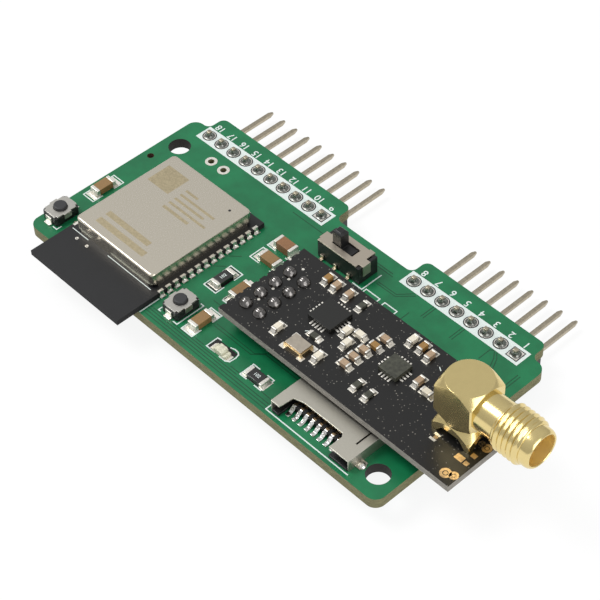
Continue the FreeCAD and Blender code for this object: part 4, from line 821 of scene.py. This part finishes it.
def plate_radio_board():
    """Bare pads and print of the radio board."""
    depth = sizes().ink_depth
    pads, gold, ink = bmesh.new(), bmesh.new(), bmesh.new()
    add_pads_under(pads, "radio_part_ends", RADIO_TOP, RADIO_REACH, RADIO_MARGIN)
    for x, y in millimetres(*SOLDER_SPECKS):
        add_disc(pads, x, y, RADIO_TOP, SPECK_RADIUS, 2 * depth, SPECK_SIDES)
    for x, y, radius in millimetres(*GOLD_RINGS):
        add_ring(gold, x, y, RADIO_TOP, radius * RING_HOLE, radius, 2 * depth)
        add_disc(gold, x, y, RADIO_TOP, radius * RING_DOT, 2 * depth)
    add_fields(gold, GOLD_PADS, RADIO_TOP, RADIO_TOP + 2 * depth)
    add_fields(pads, BRIDGE_PADS, RADIO_TOP, RADIO_TOP + 3 * depth)
    low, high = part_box("crystal_base")
    half_x, half_y = CRYSTAL_PAD
    for x in (low.x, high.x):
        for y in (low.y, high.y):
            add_block(pads, (x - half_x, y - half_y, RADIO_TOP),
                      (x + half_x, y + half_y, RADIO_TOP + 3 * depth))
    for points in RADIO_LINES:
        add_line(ink, millimetres(*points), THIN_LINE, RADIO_TOP, depth)
    make_piece("radio_board_pads", pads, ["barrel_plated_tin"])
    make_piece("radio_gold_pads", gold, ["gold_flashed_copper"])
    make_piece("radio_board_print", ink, ["screen_printed_ink"])


# Solder and shield

# Radius of the solder in a pin's hole
SHANK = 0.48 * MM
# Degrees up to which the facets of a joint blend, and those of the edge headers' joints
JOINT_SMOOTH, HEADER_SMOOTH = 60, 50
# Edge header joint: its level in ink depths, its height, its radius on the pad and at the pin, and
# its concave shape in shares of the radius and of the height
JOINT_LEVEL, JOINT_HEIGHT, JOINT_FOOT, JOINT_TIP = 3.5, 0.7 * MM, 0.8 * MM, 0.42 * MM
JOINT_SHAPE = ((1.0, 0.0), (0.86, 0.06), (0.66, 0.2), (0.52, 0.42), (0.44, 0.7), (0.4, 1.0))
# Joints of the spacer header: radius, and height over the board's face, in millimetres
UPPER_JOINT = ((0.94, 0.0), (0.93, 0.14), (0.84, 0.32), (0.68, 0.52), (0.52, 0.68), (0.4, 0.8))
LOWER_JOINT = ((0.38, -0.75), (0.5, -0.45), (0.68, -0.15), (0.84, 0.0))
# Module joint from the top down: reach and half width in millimetres, and share of the height
MODULE_JOINT = (
    (-0.1, 0.4, 1.02), (0.03, 0.28, 0.88), (0.05, 0.19, 0.62), (0.08, 0.2, 0.44), (0.18, 0.36, 0.2),
    (0.27, 0.46, 0.04),
)
# Its crown as a share of the half width, and how far its foot goes in under the module and the
# foot's half width, in millimetres
MODULE_CROWN, MODULE_FOOT_IN, MODULE_FOOT_HALF = 0.45, 0.12, 0.4
# Half width, and reach out from the edge, in millimetres, of the pads on the module and on the board
MODULE_PAD, BOARD_PAD = (0.4, -0.42), (0.45, 0.4)
# Two small rings and the printed lines on the module
MODULE_RINGS, MODULE_RING = [(4.9, -22.2), (7.0, -22.2)], (0.1 * MM, 0.24 * MM)
MODULE_LINES = [((10.4, -21.34), (19.1, -21.34)), ((3.0, -21.34), (6.2, -21.34))]
# Dot and burnt fields of the shield: place, radius, how deep they stand in it and how high the
# fields rise
MARK_PLACE, MARK_RADIUS = (17.2 * MM, -5.7 * MM), 0.2 * MM
MARK_SINK, FIELD_RISE = 0.01 * MM, 0.002 * MM


def lift(profile, level):
    """A profile given in millimetres, in metres over a level."""
    return [(radius * MM, level + rise * MM) for radius, rise in profile]


def solder_headers():
    """Solder joints of the two edge headers: a barrel in the hole and a concave cone on the pad."""
    bm = bmesh.new()
    base = BOARD_TOP + JOINT_LEVEL * sizes().ink_depth
    least = JOINT_SHAPE[-1][0]
    profile = [(0.0, 0.0), (SHANK, 0.0), (SHANK, BOARD_TOP)]
    for share, rise in JOINT_SHAPE:
        radius = JOINT_TIP + (JOINT_FOOT - JOINT_TIP) * (share - least) / (1 - least)
        profile.append((radius, base + JOINT_HEIGHT * rise))
    for x, y, _ in sum(header_rows(), []):
        add_lathe(bm, (x, y), profile + [(0.0, base + JOINT_HEIGHT)])
    make_piece("edge_header_joints", bm, ["wave_soldered_joint"],
               stands_for=["long_header_solder", "short_header_solder"], smooth_angle=HEADER_SMOOTH)


def solder_spacer():
    """The tall hand-soldered joints of the spacer header, over and under the boards."""
    upper, lower = bmesh.new(), bmesh.new()
    for low, high in island_boxes("spacer_solder_upper"):
        shank = [(0.0, low.z), (SHANK, low.z), (SHANK, RADIO_TOP)]
        add_lathe(upper, ((low.x + high.x) / 2, (low.y + high.y) / 2),
                  shank + lift(UPPER_JOINT, RADIO_TOP) + [(0.0, high.z)])
    for low, high in island_boxes("spacer_solder_lower"):
        shank = [(SHANK, 0.0), (SHANK, high.z), (0.0, high.z)]
        add_lathe(lower, ((low.x + high.x) / 2, (low.y + high.y) / 2),
                  [(0.0, low.z)] + lift(LOWER_JOINT, 0.0) + shank)
    make_piece("spacer_joints_upper", upper, ["solder_under_flux"],
               stands_for=["spacer_solder_upper"], smooth_angle=JOINT_SMOOTH)
    make_piece("spacer_joints_lower", lower, ["reflowed_solder"],
               stands_for=["spacer_solder_lower"], smooth_angle=JOINT_SMOOTH)


def module_edge(centre, low, high):
    """The module's edge beside a joint: a point on it, the way out and the way along."""
    if centre.y > high.y - MM and low.x + MM < centre.x < high.x - MM:
        return Vector((centre.x, high.y, 0)), Vector((0, 1, 0)), Vector((1, 0, 0))
    if centre.x < low.x + MM:
        return Vector((low.x, centre.y, 0)), Vector((-1, 0, 0)), Vector((0, 1, 0))
    return Vector((high.x, centre.y, 0)), Vector((1, 0, 0)), Vector((0, 1, 0))


def solder_module():
    """Edge pads of the module with their hollow solder feet, and its small print."""
    joints, pads, ink = bmesh.new(), bmesh.new(), bmesh.new()
    depth = sizes().ink_depth
    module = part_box("wifi_module_board")
    for low, high in island_boxes("wifi_module_solder"):
        edge, outward, along = module_edge((low + high) / 2, *module)
        rows = []
        for reach, half, share in MODULE_JOINT:
            place = edge + outward * reach * MM
            level = BOARD_TOP + share * (MODULE_TOP - BOARD_TOP)
            rows.append([
                joints.verts.new((*(place + along * side * half * MM + outward * crown * MM).xy,
                                  level + crown * MM))
                for side, crown in ((-1, 0), (0, MODULE_CROWN * half), (1, 0))
            ])
        back = edge - outward * MODULE_FOOT_IN * MM
        rows.append([
            joints.verts.new((*(back + along * side * MODULE_FOOT_HALF * MM).xy, BOARD_TOP))
            for side in (-1, 0, 1)
        ])
        for first, second in zip(rows, rows[1:] + rows[:1]):
            for side in (0, 1):
                joints.faces.new((first[side], first[side + 1], second[side + 1], second[side]))
        for side in (0, 2):
            joints.faces.new([row[side] for row in rows])
        for half, reach, level, height in (
            (*MODULE_PAD, MODULE_TOP, 2 * depth), (*BOARD_PAD, BOARD_TOP, depth),
        ):
            sides = [edge + along * half * MM, edge - along * half * MM]
            corners = sides + [side + outward * reach * MM for side in sides[::-1]]
            add_prism(pads, [corner.xy for corner in corners], level, level + height)
    for x, y in millimetres(*MODULE_RINGS):
        add_ring(pads, x, y, MODULE_TOP, *MODULE_RING, depth)
    for points in MODULE_LINES:
        add_line(ink, millimetres(*points), THIN_LINE, MODULE_TOP, depth)
    make_piece("module_joints", joints, ["hollow_notch_solder"],
               stands_for=["wifi_module_solder"], smooth_angle=JOINT_SMOOTH)
    make_piece("module_pads", pads, ["barrel_plated_tin"])
    make_piece("module_print", ink, ["screen_printed_ink"])


def finish_shield():
    """The drawn shield, the dot that marks its first pad and its burnt fields."""
    dress("wifi_module_shield", "drawn_nickel_silver")
    mark, fields = bmesh.new(), bmesh.new()
    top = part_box("wifi_module_shield")[1].z
    add_disc(mark, *MARK_PLACE, top - MARK_SINK, MARK_RADIUS, MARK_SINK + sizes().ink_depth / 2)
    add_fields(fields, SHIELD_FIELDS, top - MARK_SINK, top + FIELD_RISE)
    make_piece("shield_mark", mark, ["moulded_black_nylon"])
    make_piece("shield_fields", fields, ["laser_burnt_nickel_silver"])


# Card socket

# From the shell's front to the back of the comb, and from there forward to where the contacts' gold
# begins
COMB_BACK, GOLD_LENGTH = 2.65 * MM, 0.5 * MM
COMB_DEPTH, COMB_HEIGHT = 0.8 * MM, 0.9 * MM
# The shell's soldered tabs: inset from its sides and places behind its front, and the radius and
# height of their solder in millimetres
TAB_INSET, TAB_PLACES = 0.35 * MM, (1.8 * MM, 12.2 * MM)
TAB_JOINT = ((0.62, 0.0), (0.58, 0.16), (0.4, 0.32), (0.2, 0.4), (0.0, 0.42))
TAB_SIDES = 14


def finish_socket_front():
    """The contacts, tinned in front and gold behind, the comb between them and the tabs' solder."""
    comb, blobs = bmesh.new(), bmesh.new()
    low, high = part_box("card_socket_shell")
    back = low.y + COMB_BACK
    contacts = node_bmesh("card_socket_contacts")
    round_edges(contacts, sizes().sheet_edge)
    for face in contacts.faces:
        face.material_index = int(face.calc_center_median().y > back - GOLD_LENGTH)
    boxes = island_boxes("card_socket_contacts")
    for (_, near), (far, _) in zip(boxes, boxes[1:]):
        add_block(comb, (near.x, back - COMB_DEPTH, BOARD_TOP), (far.x, back, BOARD_TOP + COMB_HEIGHT))
    for x in (low.x + TAB_INSET, high.x - TAB_INSET):
        for y in TAB_PLACES:
            add_lathe(blobs, (x, low.y + y), lift(TAB_JOINT, BOARD_TOP), TAB_SIDES)
    make_piece("card_socket_contacts_finished", contacts, ["formed_tinned_bronze", "gold_flashed_copper"],
               stands_for=["card_socket_contacts"])
    make_piece("card_socket_comb", comb, ["moulded_black_nylon"])
    make_piece("card_socket_solder", blobs, ["reflowed_solder"], smooth_angle=JOINT_SMOOTH)


# Coax connector

# From the block's face to the barrel's end, and from the radio board up to the axis
COAX_REACH, AXIS_RISE = 8.38 * MM, 5.4 * MM
# What lies this far past the face belongs to the barrel
FACE_SLACK = 0.05 * MM
# Round neck, from inside the block to just before the thread
NECK_START, NECK_END, THREAD_START, NECK_RADIUS = -0.3 * MM, 2.79 * MM, 2.8 * MM, 2.65 * MM
# Thread: its end, its crest's radius, the length over which it grows at both ends, and how much
# lower the crest is there
THREAD_END, CREST, RUN_IN, RUN_IN_DROP = 6.95 * MM, 3.175 * MM, 0.4 * MM, 0.36 * MM
THREAD_STEPS, BARREL_SIDES = 84, 72
# Share of the groove's depth that is cut off flat at the crests
CREST_FLAT = 0.12
# Place along the barrel and radius, in millimetres, from the thread's end round the rim to the bore
NOSE = (
    (6.98, 2.7), (7.83, 2.68), (8.08, 2.61), (8.28, 2.49), (8.38, 2.39), (8.38, 2.27), (8.31, 2.2),
    (4.58, 2.2), (4.58, 2.05), (4.08, 2.05),
)
# Rows of the outline that are inside the mouth
MOUTH_ROWS = 4
BARREL_SMOOTH = 38
# Joint under the radio board: what it adds to the half width of a leg or of the contact, and its
# height, in millimetres
LEG_JOINT = ((0.02, -0.9), (0.1, -0.5), (0.26, -0.18), (0.42, 0.0))
LEG_HALF, CONTACT_HALF = 0.42, 0.64


def barrel_outline():
    """Place along the barrel, radius and share of the full groove, from the neck to the bore."""
    outline = [(NECK_START, NECK_RADIUS, 0.0), (NECK_END, NECK_RADIUS, 0.0)]
    for number in range(THREAD_STEPS + 1):
        along = THREAD_START + (THREAD_END - THREAD_START) * number / THREAD_STEPS
        share = min(1.0, min(along - THREAD_START, THREAD_END - along) / RUN_IN)
        outline.append((along, CREST - RUN_IN_DROP * (1 - share), share))
    return outline + [(along * MM, radius * MM, 0.0) for along, radius in NOSE]


def finish_coax_block():
    """The milled block with soft edges, cut off at its face."""
    block = node_bmesh("coax_body")
    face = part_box("coax_body")[1].x - COAX_REACH
    beyond = [vertex for vertex in block.verts if vertex.co.x > face + FACE_SLACK]
    bmesh.ops.delete(block, geom=beyond, context="VERTS")
    round_edges(block, sizes().block_edge)
    make_piece("coax_block", block, ["turned_gold_plated_brass"], stands_for=["coax_body"])


def turn_coax_barrel(axis_y):
    """The turned barrel with its fine thread, a groove that winds once round for each pitch."""
    barrel = bmesh.new()
    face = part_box("coax_body")[1].x - COAX_REACH
    axis_z = RADIO_TOP + AXIS_RISE
    rows = []
    for along, radius, share in barrel_outline():
        row = []
        for number in range(BARREL_SIDES):
            angle = 2 * math.pi * number / BARREL_SIDES
            phase = (along / sizes().thread_pitch - number / BARREL_SIDES) % 1.0
            groove = max(0.0, (1 + CREST_FLAT) * abs(2 * phase - 1) - CREST_FLAT)
            spot = radius - sizes().thread_depth * share * groove
            row.append(barrel.verts.new(
                (face + along, axis_y + spot * math.cos(angle), axis_z + spot * math.sin(angle))))
        rows.append(row)
    mouth = len(rows) - MOUTH_ROWS
    skin_rows(barrel, rows[:mouth + 1])
    # The mouth's rows take the paler gold that is painted light
    skin_rows(barrel, rows[mouth:], material=1)
    make_piece("coax_barrel", barrel, ["turned_gold_plated_brass", "bored_gold_plated_brass"],
               smooth_angle=BARREL_SMOOTH)


def solder_coax(centre_x, axis_y):
    """The joints of the four legs and the contact, under the radio board."""
    joints, under = bmesh.new(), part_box("radio_board")[0].z
    legs = [(x * PIN_PITCH, y * PIN_PITCH, LEG_HALF) for x in (-1, 1) for y in (-1, 1)]
    for x, y, half in legs + [(0.0, 0.0, CONTACT_HALF)]:
        profile = lift([(half + width, rise) for width, rise in LEG_JOINT], under)
        add_lathe(joints, (centre_x + x, axis_y + y), [(0.0, profile[0][1])] + profile + [(0.0, under)])
    make_piece("coax_joints", joints, ["reflowed_solder"], smooth_angle=JOINT_SMOOTH)


# Operators


class DressMainBoard(bpy.types.Operator):
    """Finish the main board: mask, the painted shade on its hole walls, print, and pads with the painted
    shade under three parts
    """

    bl_idname = "wifi_board.main_board"
    bl_label = "Main board"

    def execute(self, context):
        dress("main_board", "green_solder_mask")
        print_main_board()
        plate_main_board()
        wall_holes()
        return {"FINISHED"}


class DressHeaders(bpy.types.Operator):
    """Finish the edge headers and the spacer header with their joints"""

    bl_idname = "wifi_board.headers"
    bl_label = "Pin headers"

    def execute(self, context):
        for name, plating in (
            ("long_header", "drawn_gold_flashed_brass"), ("short_header", "drawn_gold_flashed_brass"),
            # The spacer header's pins take the same painted dark reflection as its joints
            ("spacer_header", "solder_under_flux"),
        ):
            soften(f"{name}_housing", "plastic_edge", "moulded_black_nylon")
            soften(f"{name}_pins", "pin_edge", plating)
        solder_headers()
        solder_spacer()
        return {"FINISHED"}


class DressWifiModule(bpy.types.Operator):
    """Finish the wifi module: board, shield, pads and joints"""

    bl_idname = "wifi_board.wifi_module"
    bl_label = "Wifi module"

    def execute(self, context):
        dress("wifi_module_board", "module_solder_mask")
        finish_shield()
        solder_module()
        soften("wifi_module_processor", "plastic_edge", "moulded_epoxy")
        soften("wifi_module_memory", "plastic_edge", "moulded_epoxy")
        soften("wifi_module_crystal", "sheet_edge", "stamped_nickelled_steel")
        return {"FINISHED"}


class DressButtons(bpy.types.Operator):
    """Finish the two push buttons"""

    bl_idname = "wifi_board.push_buttons"
    bl_label = "Push buttons"

    def execute(self, context):
        for name in ("boot", "enable"):
            node, body = f"{name}_button", f"{name}_plunger"
            soften(f"{node}_base", "plastic_edge", "moulded_black_nylon")
            soften(f"{node}_cover", "sheet_edge", "stamped_tinned_steel")
            soften(f"{node}_leads", "sheet_edge", "barrel_plated_tin")
            soften(f"{node}_plunger", "plastic_edge", "moulded_grey_acetal", body)
            dress(f"{node}_dome", "stamped_nickelled_steel")
        return {"FINISHED"}


class DressSlideSwitch(bpy.types.Operator):
    """Finish the slide switch"""

    bl_idname = "wifi_board.slide_switch"
    bl_label = "Slide switch"

    def execute(self, context):
        soften("slide_switch_housing", "plastic_edge", "moulded_black_nylon")
        soften("slide_switch_cover", "sheet_edge", "stamped_nickelled_steel")
        soften("slide_switch_leads", "sheet_edge", "drawn_gold_flashed_brass")
        soften("slide_switch_knob", "plastic_edge", "moulded_black_nylon", "switch_knob")
        dress("slide_switch_wiper", "gold_flashed_copper")
        return {"FINISHED"}


class DressCardSocket(bpy.types.Operator):
    """Finish the memory card socket"""

    bl_idname = "wifi_board.card_socket"
    bl_label = "Card socket"

    def execute(self, context):
        soften("card_socket_shell", "sheet_edge", "stamped_stainless_steel")
        soften("card_socket_tray", "plastic_edge", "moulded_black_nylon")
        finish_socket_front()
        return {"FINISHED"}


class DressRadioBoard(bpy.types.Operator):
    """Finish the radio board, its pads, chips and crystal"""

    bl_idname = "wifi_board.radio_board"
    bl_label = "Radio board"

    def execute(self, context):
        dress("radio_board", "black_solder_mask")
        plate_radio_board()
        soften("radio_chip_large", "plastic_edge", "moulded_epoxy")
        soften("radio_chip_small", "plastic_edge", "worn_moulded_epoxy")
        soften("radio_chip_lands", "sheet_edge", "barrel_plated_tin")
        soften("crystal_base", "sheet_edge", "gold_plated_ceramic_rim")
        soften("crystal_lid", "sheet_edge", "nickel_plated_kovar")
        return {"FINISHED"}


class DressSmallParts(bpy.types.Operator):
    """Finish the small soldered parts of both boards and the light"""

    bl_idname = "wifi_board.small_parts"
    bl_label = "Small parts"

    def execute(self, context):
        for node, key, slot in (
            ("radio_white_parts", "fired_white_ceramic", "white_ceramic"),
            ("radio_brown_parts", "fired_golden_ceramic", "brown_ceramic"),
            ("radio_tan_parts", "fired_pale_tan_ceramic", "tan_ceramic"),
            ("radio_resistors", "worn_moulded_epoxy", "resistor_glaze"),
            ("board_tan_parts", "fired_tan_ceramic", "tan_ceramic"),
            ("board_brown_part", "fired_brown_ceramic", "brown_ceramic"),
            ("board_resistors", "glazed_black_glass", "resistor_glaze"),
            ("radio_part_ends", "barrel_plated_tin", "tin_plate"),
            ("board_part_ends", "barrel_plated_tin", "tin_plate"),
        ):
            soften(node, "ceramic_edge", key)
        print_resistors()
        soften("light_base", "plastic_edge", "cast_epoxy_lens")
        soften("light_lens", "plastic_edge", "cast_epoxy_lens")
        return {"FINISHED"}


class DressCoax(bpy.types.Operator):
    """Finish the coax connector: block, threaded barrel, insulator, contact and joints"""

    bl_idname = "wifi_board.coax_connector"
    bl_label = "Coax connector"

    def execute(self, context):
        low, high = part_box("coax_contact")
        axis_y = (low.y + high.y) / 2
        finish_coax_block()
        turn_coax_barrel(axis_y)
        dress("coax_insulator", "turned_ptfe")
        dress("coax_contact", "gold_flashed_copper")
        solder_coax(low.x + CONTACT_HALF * MM, axis_y)
        return {"FINISHED"}


class SetStage(bpy.types.Operator):
    """Set the floor, the lights and the camera"""

    bl_idname = "wifi_board.stage"
    bl_label = "Stage"

    def execute(self, context):
        context.scene.view_settings.view_transform = "Standard"
        make_floor()
        make_lights()
        make_camera()
        return {"FINISHED"}


# Stage, in metres, watts and degrees

FLOOR_GAP, FLOOR_RADIUS, FLOOR_SIDES, FLOOR_ROUGHNESS = 0.02 * MM, 3.0, 96, 0.9
# Share of the plain white that is mixed over the floor's own shade, where the object's shadow falls
FLOOR_GLOW = 0.88
# Name, place, side and power
LAMPS = (("key_lamp", (-0.27, -0.16, 0.5), 0.28, 2.1), ("fill_lamp", (0.42, -0.06, 0.2), 0.3, 0.7))
# Height of a direction at which the sky reaches its ceiling colour
SKY_TOP = 0.8
# Camera: place in millimetres and turn about X, Y and Z, focal length and sensor in millimetres
CAMERA_PLACE, CAMERA_TURN = (158.092, -118.590, 176.727), (43.508, 1.5546, 46.746)
CAMERA_LENS, CAMERA_SENSOR, CAMERA_SHIFT, CAMERA_CLIP = 112.27, 36.0, (-0.00369, -0.00039), (0.01, 20.0)


def make_floor():
    """A pale floor that the camera sees as a white ground, with part of the object's shadow."""
    bm = bmesh.new()
    level = Matrix.Translation((0, 0, CAD_BOX[0].z - FLOOR_GAP))
    bmesh.ops.create_circle(bm, cap_ends=True, radius=FLOOR_RADIUS, segments=FLOOR_SIDES, matrix=level)
    mesh = bpy.data.meshes.new("floor")
    bm.to_mesh(mesh)
    bm.free()
    floor = bpy.data.objects.new("floor", mesh)
    bpy.context.collection.objects.link(floor)
    material, tree, shader, _ = start_material("pale_floor", FLOOR_ROUGHNESS)
    shader.inputs["Base Color"].default_value = colours().backdrop
    shader.inputs["Specular IOR Level"].default_value = 0.0
    paths = add_node(tree, "ShaderNodeLightPath").outputs
    seen = paths["Is Camera Ray"]
    for ray in ("Is Glossy Ray", "Is Transmission Ray"):
        either = add_node(tree, "ShaderNodeMath", {"operation": "MAXIMUM"}, {0: seen, 1: paths[ray]})
        seen = either.outputs["Value"]
    share = add_node(tree, "ShaderNodeMath", {"operation": "MULTIPLY", 1: FLOOR_GLOW}, {0: seen})
    glow = add_node(tree, "ShaderNodeEmission", {"Color": colours().backdrop, "Strength": 1.0})
    mixed = add_node(tree, "ShaderNodeMixShader", links={
        "Fac": share.outputs["Value"], 1: shader.outputs["BSDF"], 2: glow.outputs["Emission"]})
    output = next(node for node in tree.nodes if node.bl_idname == "ShaderNodeOutputMaterial")
    tree.links.new(mixed.outputs["Shader"], output.inputs["Surface"])
    mesh.materials.append(material)


def make_lights():
    """A broad lamp overhead, a weak one from the coax end, and a world that is pale above and darker
    towards the horizon."""
    middle = (CAD_BOX[0] + CAD_BOX[1]) / 2
    for name, place, size, power in LAMPS:
        lamp = bpy.data.lights.new(name, "AREA")
        lamp.shape = "SQUARE"
        lamp.size = size
        lamp.energy = power
        light = bpy.data.objects.new(name, lamp)
        bpy.context.collection.objects.link(light)
        light.location = place
        light.rotation_euler = (middle - light.location).to_track_quat("-Z", "Y").to_euler()
    world = bpy.data.worlds.new("studio")
    bpy.context.scene.world = world
    world.use_nodes = True
    tree = world.node_tree
    tree.nodes.clear()
    direction = add_node(tree, "ShaderNodeTexCoord").outputs["Generated"]
    height = add_node(tree, "ShaderNodeSeparateXYZ", links={"Vector": direction}).outputs["Z"]
    sky = add_spread(tree, height, colours().horizon, colours().sky, low=0.0, high=SKY_TOP)
    background = add_node(tree, "ShaderNodeBackground", {"Strength": 1.0}, {"Color": sky})
    add_node(tree, "ShaderNodeOutputWorld", links={"Surface": background.outputs["Background"]})


def make_camera():
    """The photograph's camera: its place, its turn about X, Y and Z, and its lens."""
    camera = bpy.data.cameras.new("camera")
    camera.sensor_width = CAMERA_SENSOR
    camera.lens = CAMERA_LENS
    camera.shift_x, camera.shift_y = CAMERA_SHIFT
    camera.clip_start, camera.clip_end = CAMERA_CLIP
    viewer = bpy.data.objects.new("camera", camera)
    bpy.context.collection.objects.link(viewer)
    viewer.location = Vector(CAMERA_PLACE) * MM
    viewer.rotation_euler = [math.radians(turn) for turn in CAMERA_TURN]
    bpy.context.scene.camera = viewer


OPERATORS = (
    DressMainBoard, DressHeaders, DressWifiModule, DressButtons, DressSlideSwitch, DressCardSocket,
    DressRadioBoard, DressSmallParts, DressCoax, SetStage,
)


class WifiBoardPanel(bpy.types.Panel):
    """Lists the board's operators, sizes and colours"""

    bl_idname = "VIEW3D_PT_wifi_board"
    bl_label = "Wifi Board"
    bl_space_type = "VIEW_3D"
    bl_region_type = "UI"
    bl_category = "Wifi Board"

    def draw(self, context):
        for operator in OPERATORS:
            self.layout.operator(operator.bl_idname)
        for group in (context.scene.board_sizes, context.scene.board_colours):
            box = self.layout.box()
            for name in group.bl_rna.properties.keys():
                if name not in ("rna_type", "name"):
                    box.prop(group, name)


CLASSES = (BoardColours, BoardSizes) + OPERATORS + (WifiBoardPanel,)


def register():
    for cls in CLASSES:
        bpy.utils.register_class(cls)
    bpy.types.Scene.board_colours = PointerProperty(type=BoardColours)
    bpy.types.Scene.board_sizes = PointerProperty(type=BoardSizes)


def unregister():
    del bpy.types.Scene.board_colours
    del bpy.types.Scene.board_sizes
    for cls in reversed(CLASSES):
        bpy.utils.unregister_class(cls)


def main():
    """Register the add-on and dress the whole board."""
    register()
    for operator in OPERATORS:
        group, name = operator.bl_idname.split(".")
        getattr(getattr(bpy.ops, group), name)()


if __name__ == "__main__":
    main()
